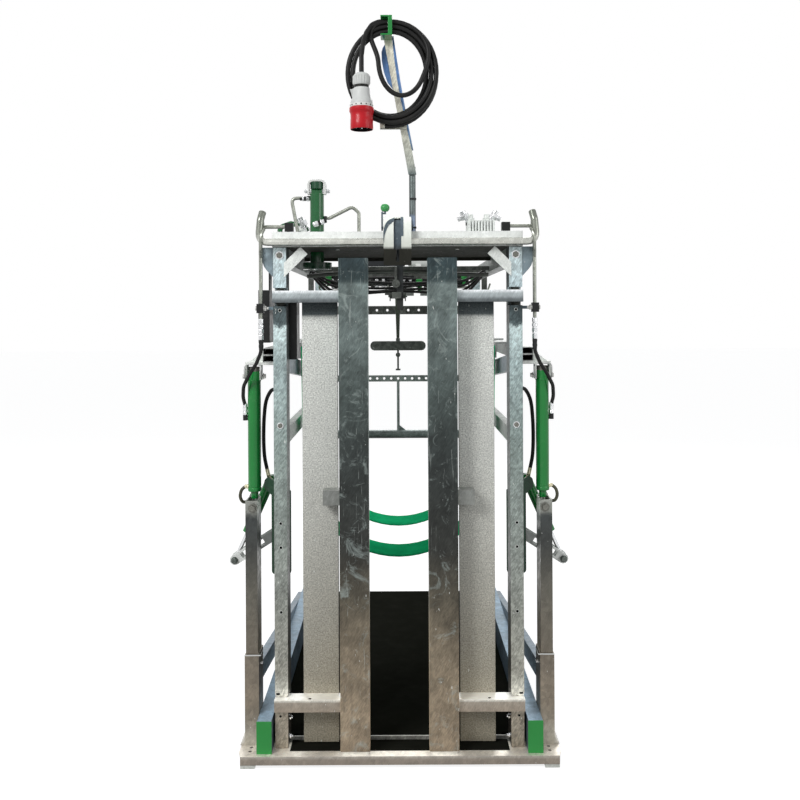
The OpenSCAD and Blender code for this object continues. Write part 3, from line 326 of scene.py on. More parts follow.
# Painted reflection and shadow on the door bars: the dark band from about 0.8 m to 1.15 m is painted
# reflection of the dark ground, the dark zone above the sharp edge at 1.805 m is the roof's painted
# shadow, and side lightens the side faces.
zinc("door_bar", [(0.06, (142, 127, 107)), (0.43, (124, 113, 96)), (0.62, (84, 79, 68)),
    (0.8, (46, 47, 44)), (1.15, (48, 53, 52)), (1.4, (70, 79, 77)), (1.62, (100, 111, 109)),
    (1.8035, (108, 120, 118)), (1.805, (50, 62, 63)), (1.9, (46, 59, 63))], 0.12, rough=(0.3, 0.44),
    metallic=0.35, spangle=48.0, side=2.6, streak=0.22, clouds=0.4, scratch=0.45, gloss=0.3)
# Painted light and shade on the door arms: lit top edges at 0.239 m and 1.771 m and a shaded underside at
# 1.728 m, strengthened by top and under.
zinc("arm", [(0.19, (148, 136, 122)), (0.234, (152, 144, 132)), (0.239, (226, 224, 214)),
    (0.95, (128, 130, 126)), (1.728, (84, 90, 92)), (1.74, (104, 110, 112)), (1.744, (150, 158, 160)),
    (1.766, (170, 178, 180)), (1.771, (226, 230, 232))], 0.1, streak=0.14, spangle=90.0, top=1.9,
    under=0.12, gloss=0.4, clouds=0.12)
# Painted shadow on the door panels: dark above a sharp edge at 1.68 m, under the upper arm; side darkens
# their side faces.
zinc("panel", [(0.04, (146, 140, 124)), (0.3, (158, 153, 139)), (0.5, (170, 167, 156)),
    (1.1, (205, 206, 200)), (1.672, (222, 224, 219)), (1.68, (86, 94, 96)), (1.75, (58, 66, 68))], 0.05,
    (0.5, 0.65), 0.1, 95.0, speckle=0.3, streak=0.0, grain=0.36, clouds=0.06, gloss=0.3, side=0.4)
# Painted sunlight: the foot-rest arms are zinc lightened almost to white.
zinc("bright_arm", [(0.6, (226, 229, 226)), (1.0, (236, 239, 236))], 0.06, (0.42, 0.56), 0.1, 95.0,
    speckle=0.1, streak=0.05, clouds=0.1, under=0.5, side=1.0)
zinc("hinge_steel", [(0.1, (70, 66, 58)), (2.0, (60, 63, 60))], 0.2, (0.5, 0.6), 0.0, 60.0, streak=0.1,
    gloss=0.15, top=1.8, under=0.4)
zinc("pale_zinc", [(0.0, (196, 198, 192)), (2.0, (222, 226, 222))], 0.08, (0.42, 0.58), 0.25, 95.0,
    speckle=0.2, streak=0.08, grain=0.08, clouds=0.1)
# The roof sheet is nearly white; under paints its underside nearly black as painted shade.
zinc("roof", [(0.0, (240, 243, 240)), (2.0, (240, 243, 240))], 0.06, (0.5, 0.65), 0.0, 80.0, speckle=0.35,
    under=0.02, top=1.0, streak=0.05, clouds=0.08, gloss=0.0)
# Painted light and shade on the latch cover: near white above 1.934 m where it is lit, dark below 1.928 m
# where it is shaded, with darkened sides and underside.
zinc("latch", [(1.0, (44, 45, 40)), (1.928, (48, 48, 43)), (1.934, (226, 230, 220)),
    (2.0, (238, 242, 234))], 0.03, (0.5, 0.6), 0.0, 60.0, streak=0.0, clouds=0.04, side=0.12, under=0.1,
    gloss=0.08)
# Shade colours, dark below 1.93 m and slate blue above: the painted shade pieces of the latch and the
# middle of the corner plates take them, and so does the latch lever.
zinc("latch_steel", [(1.6, (40, 40, 36)), (1.93, (52, 56, 58)), (1.95, (86, 98, 106)),
    (2.1, (88, 101, 108))], 0.1, (0.4, 0.5), 0.1, 60.0, streak=0.1, gloss=0.2)
# Painted highlight: a light band at 1.962 m along the top of the handle rail, darker below and above.
zinc("handle", [(1.9, (150, 150, 142)), (1.962, (196, 197, 190)), (1.99, (140, 143, 134)),
    (2.1, (104, 109, 100))], 0.1, (0.2, 0.3), 0.7, 60.0, streak=0.1, top=1.3, clouds=0.12)
# Painted shade and light on the base rails: a shaded blue-grey, with their top faces lightened by top.
zinc("rail_zinc", [(0.04, (80, 97, 110)), (0.17, (92, 108, 120))], 0.14, (0.3, 0.45), 0.4, 50.0,
    speckle=0.2, top=2.4, streak=0.15)
# Painted shade: the slate blue of shaded zinc, for the outer ends of the corner plates and the clamp
# arms.
zinc("slate_zinc", [(1.6, (104, 120, 128)), (2.0, (132, 146, 152))], 0.1, (0.4, 0.5), 0.2, 70.0,
    streak=0.1, gloss=0.2)
# Painted shade: the blue of shaded zinc, for the mast's web.
zinc("mast_sky_shade", [(2.2, (128, 152, 168)), (2.4, (116, 150, 194)), (2.75, (100, 140, 200))], 0.08,
    (0.3, 0.4), 0.1, 60.0, streak=0.1, gloss=0.2, side=1.0)
# Painted shade: the blue-grey of the shaded side braces.
zinc("blue_zinc", [(0.0, (92, 108, 120)), (2.2, (120, 134, 144))], 0.1, (0.28, 0.42), 0.5, 60.0,
    streak=0.1)
# Painted light: the mast's lit face grows lighter towards the top, nearly white at 2.75 m; bluish below a
# step at 2.062 m.
zinc("mast_zinc", [(1.9, (108, 122, 142)), (2.062, (112, 126, 146)), (2.066, (84, 92, 92)),
    (2.22, (98, 108, 106)), (2.26, (172, 176, 166)), (2.4, (196, 196, 182)), (2.75, (232, 228, 210))],
    0.14, (0.28, 0.4), 0.4, 60.0, streak=0.25, side=0.5)
zinc("pipe", [(1.4, (128, 132, 124)), (2.1, (148, 151, 142))], 0.1, (0.2, 0.3), 0.7, 60.0, streak=0.1,
    top=1.5, under=0.3, clouds=0.1)
# Painted shade for the roof sheet's underside.
zinc("roof_underside_shade", [(1.9, (56, 55, 50)), (2.0, (56, 55, 50))], 0.1, (0.6, 0.7), 0.0, 60.0, streak=0.1,
    under=0.8, gloss=0.05, clouds=0.1)
zinc("dark_zinc", [(0.5, (92, 98, 94)), (2.1, (74, 76, 72))], 0.3, (0.34, 0.46), 0.4, 60.0, streak=0.2,
    top=2.0, under=0.2, gloss=0.3)
zinc("gate_zinc", [(0.9, (104, 114, 112)), (1.4, (116, 124, 120))], 0.2, (0.34, 0.46), 0.4, 60.0,
    streak=0.2, top=1.7, under=0.2)
# Painted light: the base plates are much lighter from 0.05 m up and on their top faces than on their
# fronts.
zinc("base_zinc", [(0.0, (132, 123, 112)), (0.04, (140, 131, 120)), (0.05, (196, 193, 184))], 0.1,
    speckle=0.4, top=2.2, streak=0.1, clouds=0.12)
paint("green", srgb(22, 132, 56), 0.22, 0.05, 0.6)
paint("press_green", srgb(12, 92, 44), 0.16, 0.03, 0.8)
paint("dark_green", srgb(10, 66, 38), 0.25, 0.08, 0.5)
plastic("cap_green", srgb(50, 145, 70), 0.42)
rubber("rubber")
rubber("mat", (0.011, 0.0115, 0.009), 0.6, 240.0, 0.4, 0.02, 0.0)
rubber("hose", (0.012, 0.012, 0.012), 0.36, 700.0, 0.15, 0.06)
rubber("cable", (0.01, 0.01, 0.01), 0.42, 500.0, 0.1, 0.05)
bright("chrome")
bright("brass_zinc", (0.62, 0.58, 0.42), 0.22)
paint("black", (0.008, 0.009, 0.009), 0.36, 0.06, 0.1)
woven("belt", (0.02, 0.64, 0.25), (0.005, 0.27, 0.1))
plastic("knob", (0.05, 0.33, 0.09), 0.25, 0.5)
plastic("plug_grey", srgb(204, 206, 204), 0.42)
plastic("plug_red", srgb(188, 22, 34), 0.34)
plastic("plug_white", srgb(226, 226, 222), 0.4)
rubber("olive_hose", srgb(70, 70, 54), 0.35, 700.0, 0.15, 0.1, 0.3)
rubber("grey_hose", srgb(104, 106, 102), 0.4, 700.0, 0.15, 0.1)
bright("dark_steel", (0.17, 0.17, 0.15), 0.3, 0.7)
bright("bolt_zinc", (0.46, 0.46, 0.44), 0.3, 0.8)
woven("strap", srgb(92, 98, 88), srgb(52, 56, 50))
paint("motor", (0.012, 0.014, 0.016), 0.4, 0.1, 0.1)
# Painted shade for holes, slots and the recesses of the plug.
rubber("hole", (0.004, 0.004, 0.004), 0.9, 900.0, 0.1, 0.0)
paint("white_paint", (0.7, 0.71, 0.69), 0.4, 0.1, 0.1)


def by_name(table):
    """Turns a table of one value for several names round, into a value for each name."""
    return {name: value for value, names in table.items() for name in names.split()}


SLOT_LOOK = {
    "galvanised_steel": "galvanised", "pale_zinc": "pale_zinc", "green_paint": "green",
    "dark_green_paint": "dark_green", "black_rubber": "rubber", "bright_steel": "chrome",
    "black_paint": "black", "belt_green": "belt", "knob_green": "knob",
}
NODE_LOOK = by_name({
    "base_zinc": "base_plates", "rail_zinc": "base_rails", "cap_green": "rail_end_caps",
    "mat": "floor_mat", "post": "corner_posts hinge_channels", "outer_post": "outer_posts",
    "sleeve": "outer_sleeves", "door_bar": "door_bar_left door_bar_right",
    "arm": "door_frame_left door_frame_right", "panel": "door_panel_left door_panel_right",
    "bright_arm": "foot_arm_left foot_arm_right", "roof": "roof_sheet", "latch": "latch_housing",
    "handle": "roof_front_rail", "blue_zinc": "side_braces", "mast_zinc": "mast",
    "latch_steel": "latch_lever", "pipe": "hydraulic_pipes", "press_green": "press_barrel",
    "dark_zinc": "rear_top_beam lift_guide_bars leg_spreader winch_drum", "gate_zinc": "rear_gate",
    "motor": "power_pack",
})


# Helpers

SIDES = ((-1, "left"), (1, "right"))
MERGE = 2e-5
FLAT_DEG = 0.6
BEVEL_ABOVE_DEG = 35.0
EDGE = 0.0012


def put(name, mesh, look, body, slot, *replaced):
    """Links a mesh as a piece with its material and body; the CAD nodes it stands for are hidden. slot is
    not used.

    A piece that runs between two bodies has no body of its own."""
    piece = show(name, mesh)
    mesh.materials.clear()
    mesh.materials.append(MATERIALS[look])
    if body:
        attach(piece, body)
    if replaced:
        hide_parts(*replaced)
    return piece


def clean_mesh(source, name):
    """A copy of a CAD mesh with its seams merged and its flat faces joined."""
    work = bmesh.new()
    work.from_mesh(source)
    bmesh.ops.remove_doubles(work, verts=work.verts, dist=MERGE)
    bmesh.ops.dissolve_limit(work, angle_limit=math.radians(FLAT_DEG), verts=work.verts, edges=work.edges)
    work.verts.index_update()
    mesh = bpy.data.meshes.new(name)
    mesh.from_pydata([v.co[:] for v in work.verts], [], [[v.index for v in f.verts] for f in work.faces])
    work.free()
    return mesh


def soften(piece, width):
    """Rounds the edges that are sharper than the bevel's angle."""
    bevel = piece.modifiers.new("bevel", "BEVEL")
    bevel.width = width
    bevel.segments = 2
    bevel.limit_method = "ANGLE"
    bevel.angle_limit = math.radians(BEVEL_ABOVE_DEG)
    bevel.harden_normals = True
    piece.data.shade_smooth()
    return piece


def skin(node, width, fatter):
    """Replaces a hard CAD node with a copy of itself that has rounded edges."""
    slot = slot_of_node[node]
    piece = put(node + "_skin", clean_mesh(nodes[node].data, node + "_skin"),
        NODE_LOOK.get(node) or SLOT_LOOK[slot], body_of_node[node], slot, node)
    if fatter:
        normals = [v.normal.copy() for v in piece.data.vertices]
        for vertex, normal in zip(piece.data.vertices, normals):
            vertex.co += normal * fatter
    return soften(piece, width)


class Shape:
    """Points and faces in metres, gathered part by part and then made into one mesh."""

    def __init__(self):
        self.points = []
        self.faces = []

    def add(self, points, faces):
        start = len(self.points)
        self.points += [tuple(p) for p in points]
        self.faces += [[start + i for i in face] for face in faces]
        return self

    def between(self, low, high, strip=False):
        """The closed solid between two equal outlines. A strip gets a row of quads on its faces."""
        n = len(low)
        walls = [[i, (i + 1) % n, n + (i + 1) % n, n + i] for i in range(n)]
        row = [[k, k + 1, n - 2 - k, n - 1 - k] for k in range(n // 2 - 1)]
        caps = row if strip else [list(range(n))]
        return self.add([*low, *high], walls + caps + [[n + i for i in reversed(cap)] for cap in caps])

    def prism(self, outline, y0, y1, strip=False):
        """An outline of (x, z) points, thick from y0 to y1."""
        return self.between(*([(x, y, z) for x, z in outline] for y in (y0, y1)), strip)

    def slab(self, outline, x0, x1):
        """An outline of (y, z) points, thick from x0 to x1."""
        return self.between(*([(x, y, z) for y, z in outline] for x in (x0, x1)))

    def sheet(self, low, high):
        """A thin sheet between two rows of points."""
        n = len(low)
        return self.add([*low, *high], [[k, k + 1, n + k + 1, n + k] for k in range(n - 1)])

    def box(self, low, high):
        return self.prism([(low[0], low[2]), (high[0], low[2]), (high[0], high[2]), (low[0], high[2])],
            low[1], high[1])

    def lathe(self, at, axis, profile, steps=24, turn=0.0, capped=True):
        """Turns a list of (distance along the axis, radius) round an axis through a point."""
        spin = Vector(axis).normalized().to_track_quat("Z", "Y")
        points, rings = [], []
        for along, radius in profile:
            count = 1 if radius < 1e-6 else steps
            rings.append(range(len(points), len(points) + count))
            for k in range(count):
                a = 2 * math.pi * k / steps + turn
                points.append(Vector(at) + spin @ Vector((radius * math.cos(a), radius * math.sin(a),
                    along)))
        faces = []
        for low, high in zip(rings, rings[1:]):
            for k in range(steps):
                corners = [low[k % len(low)], low[(k + 1) % len(low)], high[(k + 1) % len(high)],
                    high[k % len(high)]]
                face = list(dict.fromkeys(corners))
                if len(face) > 2:
                    faces.append(face)
        if capped:
            faces += [list(ring) for ring in (rings[0], rings[-1]) if len(ring) > 2]
        return self.add(points, faces)

    def disc(self, at, axis, radius, height, steps=24):
        """A round plate with a flat face."""
        return self.lathe(at, axis, [(0, radius), (height, radius), (height, 0)], steps)

    def rod(self, a, b, radius, steps=20, chamfer=0.0):
        length = (Vector(b) - Vector(a)).length
        c = chamfer
        profile = [(0, radius - c), (c, radius), (length - c, radius), (length, radius - c)]
        return self.lathe(a, Vector(b) - Vector(a), profile if c else [(0, radius), (length, radius)],
            steps)

    def bolt(self, at, axis, size, washer=0.0, turn=0.3):
        """A hex head of a given width across its corners, with a washer and a dished top."""
        r, h = size / 2, size * 0.36
        if washer:
            self.lathe(at, axis, [(0, washer / 2), (0.0014, washer / 2), (0.0018, washer / 2 - 0.0004),
                (0.0018, 0)])
        base = 0.0018 if washer else 0.0
        return self.lathe(at, axis, [(base, r), (base + h * 0.8, r), (base + h, r * 0.86),
            (base + h, r * 0.5), (base + h * 0.93, r * 0.42), (base + h * 0.93, 0)], 6, turn)

    def sweep(self, path, radius, steps):
        """A round wire along a path, with its rings turned along with the path."""
        path = [Vector(p) for p in path]
        n = len(path)
        ahead = [path[min(i + 1, n - 1)] - path[max(i - 1, 0)] for i in range(n)]
        side = ahead[0].orthogonal().normalized()
        points = []
        for i in range(n):
            t = ahead[i].normalized()
            side = (side - t * side.dot(t)).normalized()
            up = t.cross(side)
            points += [path[i] + (side * math.cos(a) + up * math.sin(a)) * radius
                for a in (2 * math.pi * k / steps for k in range(steps))]
        faces = [[i * steps + k, i * steps + (k + 1) % steps, (i + 1) * steps + (k + 1) % steps,
            (i + 1) * steps + k] for i in range(n - 1) for k in range(steps)]
        faces += [list(range(steps - 1, -1, -1)), [(n - 1) * steps + k for k in range(steps)]]
        return self.add(points, faces)

    def mirrored(self):
        """The same shape on both sides of the middle plane."""
        return self.add([(-x, y, z) for x, y, z in self.points], [face[::-1] for face in self.faces])

    def mesh(self, name):
        mesh = bpy.data.meshes.new(name)
        mesh.from_pydata(self.points, [], self.faces)
        work = bmesh.new()
        work.from_mesh(mesh)
        bmesh.ops.recalc_face_normals(work, faces=work.faces)
        work.to_mesh(mesh)
        work.free()
        return mesh


def detail(name, shape, look, slot, *replaced, body="frame", width=0.0006):
    """Puts a shape in place as a piece with soft edges."""
    return soften(put(name, shape.mesh(name), look, body, slot, *replaced), width)


def nut_run(shape, a, b, *parts):
    """Hex and round collars in a row from a towards b: (start, end, radius, sides) each."""
    axis = (Vector(b) - Vector(a)).normalized()
    for start, end, radius, sides in parts:
        c = min(0.0012, radius * 0.12)
        shape.lathe(Vector(a) + axis * start, axis, [(0, 0), (0, radius - c), (c, radius),
            (end - start - c, radius), (end - start, radius - c), (end - start, 0)], sides, 0.2)
    return shape


def smooth_path(points, steps):
    """A smooth curve through all the points."""
    pts = [Vector(p) for p in points]
    pts = [pts[0] * 2 - pts[1], *pts, pts[-1] * 2 - pts[-2]]
    out = []
    for a, b, c, d in zip(pts, pts[1:], pts[2:], pts[3:]):
        for k in range(steps):
            t = k / steps
            out.append(0.5 * (2 * b + (c - a) * t + (2 * a - 5 * b + 4 * c - d) * t * t
                + (3 * b - a - 3 * c + d) * t ** 3))
    return out + [pts[-2]]


# Cord

CABLE = 0.018
COIL_A, COIL_B = 0.176, 0.194
COIL_X, COIL_Z = -0.022, 2.589
COIL_Y = (-0.932, -0.952)
COIL_PITCH = 0.0189
COIL_TURNS = 4.5
LOOP_A, LOOP_B = 0.088, 0.13
LOOP_X, LOOP_Z = 0.02, 2.631
LOOP_IN, LOOP_OUT = 0.26, 0.34
LOOP_FORWARD = 0.0195
TURN_POINTS = 48
START_BACK = 0.024
LEAD_BEND, HOSE_BEND = 0.03, 0.07
PLUG_AT = (-0.13, -1.009, 2.578)
LEAD = [(-0.042, -0.952, 2.783), (-0.066, -0.952, 2.783), (-0.092, -0.959, 2.77), (-0.112, -0.977, 2.735),
    (-0.124, -0.997, 2.69), (-0.13, -1.008, 2.64), (-0.13, -1.009, 2.6), PLUG_AT]


def inner_loop(turn):
    """How far the last turn has gone over to the small loop that hangs inside the coil, from 0 to 1."""
    k = turn - COIL_TURNS
    if k <= 0:
        return 0.0
    t = max(0.0, min(1.0, k / LOOP_IN, (1.0 - k) / LOOP_OUT))
    return t * t * (3 - 2 * t)


def coil_point(turn):
    """A point of the cable: the turns of the coil, then one turn that becomes the small loop."""
    if turn > COIL_TURNS:
        w = inner_loop(turn)
        a = 2 * math.pi * turn
        x = COIL_X + (LOOP_X - COIL_X) * w
        z = COIL_Z + (LOOP_Z - COIL_Z) * w
        rise = COIL_Z + COIL_B - LOOP_Z if turn < COIL_TURNS + 0.25 else LOOP_B
        return (x + (COIL_A + (LOOP_A - COIL_A) * w) * math.sin(a), COIL_Y[1] - LOOP_FORWARD * w,
            z - (COIL_B + (rise - COIL_B) * w) * math.cos(a))
    inset = COIL_PITCH * min(turn, COIL_TURNS - turn)
    k = max(0.0, min(1.0, (turn - COIL_TURNS / 2) * 2 + 0.5))
    y = COIL_Y[0] + (COIL_Y[1] - COIL_Y[0]) * k * k * (3 - 2 * k)
    a = 2 * math.pi * turn
    return (COIL_X + (COIL_A - inset) * math.sin(a), y, COIL_Z - (COIL_B - inset) * math.cos(a))


def rounded(points, bend, steps=3):
    """The same path with each inner corner turned into an arc of about that bend radius."""
    pts = [Vector(p) for p in points]
    out = [pts[0]]
    for before, here, after in zip(pts, pts[1:], pts[2:]):
        u, v = (before - here), (after - here)
        half = math.degrees(u.angle(v)) / 2
        cut = 0.0 if half > 86 else min(bend / math.tan(math.radians(half)), u.length * 0.45,
            v.length * 0.45)
        if cut == 0.0:
            out.append(here)
            continue
        a, b = here + u.normalized() * cut, here + v.normalized() * cut
        out += [a * (1 - t) ** 2 + here * 2 * t * (1 - t) + b * t * t
            for t in (k / steps for k in range(steps + 1))]
    return out + [pts[-1]]


def tube_curve(name, points, diameter, look, body, slot):
    """A round cable as a curve object."""
    data = bpy.data.curves.new(name, "CURVE")
    data.dimensions = "3D"
    data.bevel_depth = diameter / 2
    data.bevel_resolution = 6
    data.use_fill_caps = True
    spline = data.splines.new("POLY")
    spline.points.add(len(points) - 1)
    for point, place in zip(spline.points, points):
        point.co = (*place, 1.0)
    spline.use_smooth = True
    return put(name, data, look, body, slot)


def path_length(points):
    """The length of a path in metres."""
    return sum((Vector(b) - Vector(a)).length for a, b in zip(points, points[1:]))


cord_path = [(COIL_X - START_BACK, COIL_Y[0], COIL_Z - COIL_B)]
cord_path += [coil_point(i / TURN_POINTS) for i in range(int((COIL_TURNS + 1) * TURN_POINTS) + 1)]
cord_path += [tuple(p) for p in rounded(LEAD, LEAD_BEND)]
supply_cord = tube_curve("supply_cord", cord_path, CABLE, "cable", "frame", "black_rubber")
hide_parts("cord_coil", "cord_lead")


def around(count, radius, start=0.0):
    """Offsets in a level plane, spread evenly round a circle."""
    turns = [start + 2 * math.pi * k / count for k in range(count)]
    return [Vector((radius * math.cos(a), radius * math.sin(a), 0)) for a in turns]


def plug():
    """A five-pin plug: ribbed gland nut, grey body with a tab, slotted band, red shroud and pins."""
    x, y, top = PLUG_AT
    down = (0, 0, -1)
    nut = Shape()
    nut.lathe((x, y, top), down, [(0, 0.01), (0.002, 0.016), (0.006, 0.025), (0.013, 0.03),
        (0.044, 0.031), (0.048, 0.029), (0.048, 0.0)], 40)
    for off in around(20, 0.0305):
        nut.rod(off + Vector((x, y, top - 0.015)), off + Vector((x, y, top - 0.043)), 0.0022, 6)
    gap = Shape()
    gap.lathe((x, y, top), down, [(0.048, 0.0), (0.048, 0.0265), (0.06, 0.0265), (0.06, 0.0)], 32)
    shell = Shape()
    shell.lathe((x, y, top), down, [(0.058, 0.0), (0.058, 0.0285), (0.062, 0.0312), (0.078, 0.0318),
        (0.082, 0.0328), (0.098, 0.0352), (0.102, 0.0375), (0.112, 0.0412), (0.118, 0.0415),
        (0.118, 0.0)], 48)
    shell.prism([(x - 0.043, top - 0.064), (x - 0.03, top - 0.061), (x - 0.03, top - 0.096),
        (x - 0.036, top - 0.09), (x - 0.0375, top - 0.078)], y - 0.006, y + 0.006)
    for off in around(12, 0.0385):
        shell.lathe(off + Vector((x, y, top - 0.103)), down, [(0, 0.0018), (0.012, 0.0022)], 6)
    band = Shape()
    band.lathe((x, y, top), down, [(0.118, 0.0), (0.118, 0.0415), (0.1195, 0.043), (0.13, 0.043),
        (0.131, 0.0415), (0.131, 0.0)], 48)
    collar = Shape()
    outer = [(0.131, 0.0), (0.131, 0.044), (0.133, 0.0457), (0.146, 0.0457), (0.149, 0.044),
        (0.152, 0.0425), (0.158, 0.0418), (0.172, 0.0412), (0.174, 0.042), (0.21, 0.0425),
        (0.212, 0.0418)]
    inner = [(0.212, 0.0392), (0.205, 0.0385), (0.168, 0.038), (0.168, 0.0)]
    collar.lathe((x, y, top), down, outer + inner, 56)
    slots = Shape()
    for off in around(14, 0.0424, math.pi / 14):
        slots.lathe(off + Vector((x, y, top - 0.1245)), off, [(0, 0.0034), (0.0012, 0.0034)], 4,
            math.pi / 4)
    pins = Shape()
    for k, off in enumerate(around(5, 0.022, math.radians(18))):
        r = 0.004 if k else 0.0046
        tip = [(0.036, r * 0.7), (0.037, 0)]
        pins.lathe(off + Vector((x, y, top - 0.168)), down, [(0, r), (0.032, r), *tip], 16)
    face = Shape().disc((x, y, top - 0.1665), down, 0.0375, 0.001, 40)
    return [
        detail("plug_seal", gap, "cable", "black_rubber", "plug_shell"),
        detail("plug_gland_nut", nut, "plug_grey", "plug_grey", "plug_shell"),
        detail("plug_body", shell, "plug_grey", "plug_grey", "plug_shell", width=0.0009),
        detail("plug_band", band, "plug_white", "plug_grey"),
        detail("plug_shroud", collar, "plug_red", "plug_red", "plug_collar", width=0.0008),
        # plug_slots and plug_insert are painted shade: dark slots in the band and a dark face between the
        # pins.
        detail("plug_slots", slots, "hole", "plug_grey", width=0.0001),
        detail("plug_pins", pins, "chrome", "bright_steel", "plug_collar", width=0.0003),
        detail("plug_insert", face, "hole", "plug_red", "plug_collar", width=0.0001),
    ]


# Painted shade: faces inside the shroud take the dark hole material.
SHROUD_INSIDE = 0.04
plug_pieces = plug()
shroud = bpy.data.objects["plug_shroud"].data
shroud.materials.append(MATERIALS["hole"])
for face in shroud.polygons:
    off = math.hypot(face.center.x - PLUG_AT[0], face.center.y - PLUG_AT[1])
    if off < SHROUD_INSIDE and face.normal.z < 0.9:
        face.material_index = 1

# Lift hoses and winch strap

PIPE_X, PIPE_Y, HOSE_TOP = 0.516, -0.94, 1.585
LIFT_CYL = (0.556, -0.855)
PORT_X, PORT_Z = 0.591, 1.286
HOSE = 0.014
HOSE_PATH = [(PIPE_X, PIPE_Y, HOSE_TOP), (PIPE_X, PIPE_Y, HOSE_TOP - 0.04), (0.535, -0.935, 1.5),
    (0.566, -0.918, 1.455), (0.592, -0.888, 1.41), (0.598, -0.864, 1.365), (PORT_X, LIFT_CYL[1], 1.335),
    (PORT_X, LIFT_CYL[1], 1.3)]
HOSE_LENGTH = path_length(rounded(HOSE_PATH, HOSE_BEND))


def crimp(shape, at, axis, length):
    """A pressed hose sleeve with its hex and its nut."""
    return shape.lathe(at, axis, [(0, 0.0086), (0.001, 0.0094), (length * 0.24, 0.0094),
        (length * 0.26, 0.0088), (length * 0.46, 0.0088), (length * 0.48, 0.0094), (length * 0.7, 0.0094),
        (length * 0.72, 0.0086), (length * 0.86, 0.0086), (length, 0.008), (length, 0)], 20)


def lift_hose(side, name):
    """A hose that bends from the fixed pipe to the port on the moving barrel."""
    path = [(side * x, y, z) for x, y, z in (tuple(p) for p in rounded(HOSE_PATH, HOSE_BEND, 8))]
    hose = put("lift_hose_" + name, Shape().sweep(path, HOSE / 2, 16).mesh("lift_hose_" + name), "hose",
        None, "black_rubber", "lift_hoses")
    hose.data.shade_smooth()
    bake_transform(hose)
    upper = Shape()
    crimp(upper, (side * PIPE_X, PIPE_Y, HOSE_TOP + 0.004), (0, 0, -1), 0.04)
    detail("upper_crimp_" + name, upper, "black", "black_paint")
    lower = Shape()
    crimp(lower, (side * PORT_X, LIFT_CYL[1], PORT_Z + 0.012), (0, 0, 1), 0.044)
    end = detail("lower_crimp_" + name, lower, "chrome", "bright_steel", body="lift")


for side, name in SIDES:
    lift_hose(side, name)

CHAIN_Y, WINCH_Z, SPREADER_TOP = 0.5647, 1.8, 1.54


def winch_strap():
    """The strap that carries the leg spreader: wide at the drum and narrow at the spreader."""
    rows, foot, thick = 18, SPREADER_TOP + 0.016, 0.0016
    edge = [(0.008 + 0.007 * k / rows, foot + (WINCH_Z - foot) * k / rows) for k in range(rows + 1)]
    outline = edge + [(-x, z) for x, z in reversed(edge)]
    strap = Shape().prism(outline, CHAIN_Y - thick, CHAIN_Y + thick, strip=True)
    piece = put("winch_strap", strap.mesh("winch_strap"), "strap", None, "galvanised_steel",
        "winch_chain")
    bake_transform(piece)


winch_strap()

# Skins of the CAD nodes

SOFT_EDGE = by_name({
    0.004: "base_rails corner_posts hinge_channels outer_posts outer_sleeves roof_side_beams"
           " door_bar_left door_bar_right",
    0.003: "floor_mat guard_rails side_braces",
    0.0003: "rear_gate", 0.0002: "pins_and_bolts", 0.006: "power_pack", 0.0015: "valve_blocks",
})
DONE = {"cord_coil", "cord_lead", "plug_shell", "plug_collar", "lift_hoses", "winch_chain",
    "press_clevis", "lift_barrels"}
FATTER = {"hydraulic_pipes": 0.0012}
for node in nodes:
    if node not in DONE:
        skin(node, SOFT_EDGE.get(node, EDGE), FATTER.get(node, 0.0))


def second_look(node, look, chosen):
    """Gives the faces of a skin whose middle passes the test a second material."""
    mesh = bpy.data.objects[node + "_skin"].data
    mesh.materials.append(MATERIALS[look])
    for face in mesh.polygons:
        if chosen(face.center):
            face.material_index = len(mesh.materials) - 1


def trim(node, chosen):
    """Takes the faces of a skin away where finer pieces stand for them."""
    mesh = bpy.data.objects[node + "_skin"].data
    work = bmesh.new()
    work.from_mesh(mesh)
    bmesh.ops.delete(work, geom=[f for f in work.faces if chosen(f.calc_center_median())],
        context="FACES")
    work.to_mesh(mesh)
    work.free()


trim("pipe_fittings", lambda c: abs(c.x) > 0.468 and c.z < 1.75)
# Painted shade: the middle and the outer ends of the corner plates, and the roof sheet's underside, take
# shade colours.
second_look("corner_plates", "latch_steel", lambda c: abs(c.x) < 0.1)
second_look("corner_plates", "slate_zinc", lambda c: abs(c.x) > 0.472)
second_look("roof_sheet", "roof_underside_shade", lambda c: c.z < 1.9395)
second_look("power_pack", "white_paint", lambda c: c.z < 2.0 and c.x > 0.05)
second_look("pins_and_bolts", "hinge_steel", lambda c: c.y < -0.88 and abs(c.x) < 0.475)

# Details of the front

POST_X, POST_FRONT = 0.446, -0.934
ARM_TOP = 0.24
HINGE_Y = -0.914
OUTER_POST_X = 0.556
AHEAD = (0, -1, 0)


def hole(shape, at, axis, radius):
    """Painted shade in a drilled hole: a thin dark disc just proud of the face."""
    shape.disc(at, axis, radius, 0.0003, 20)


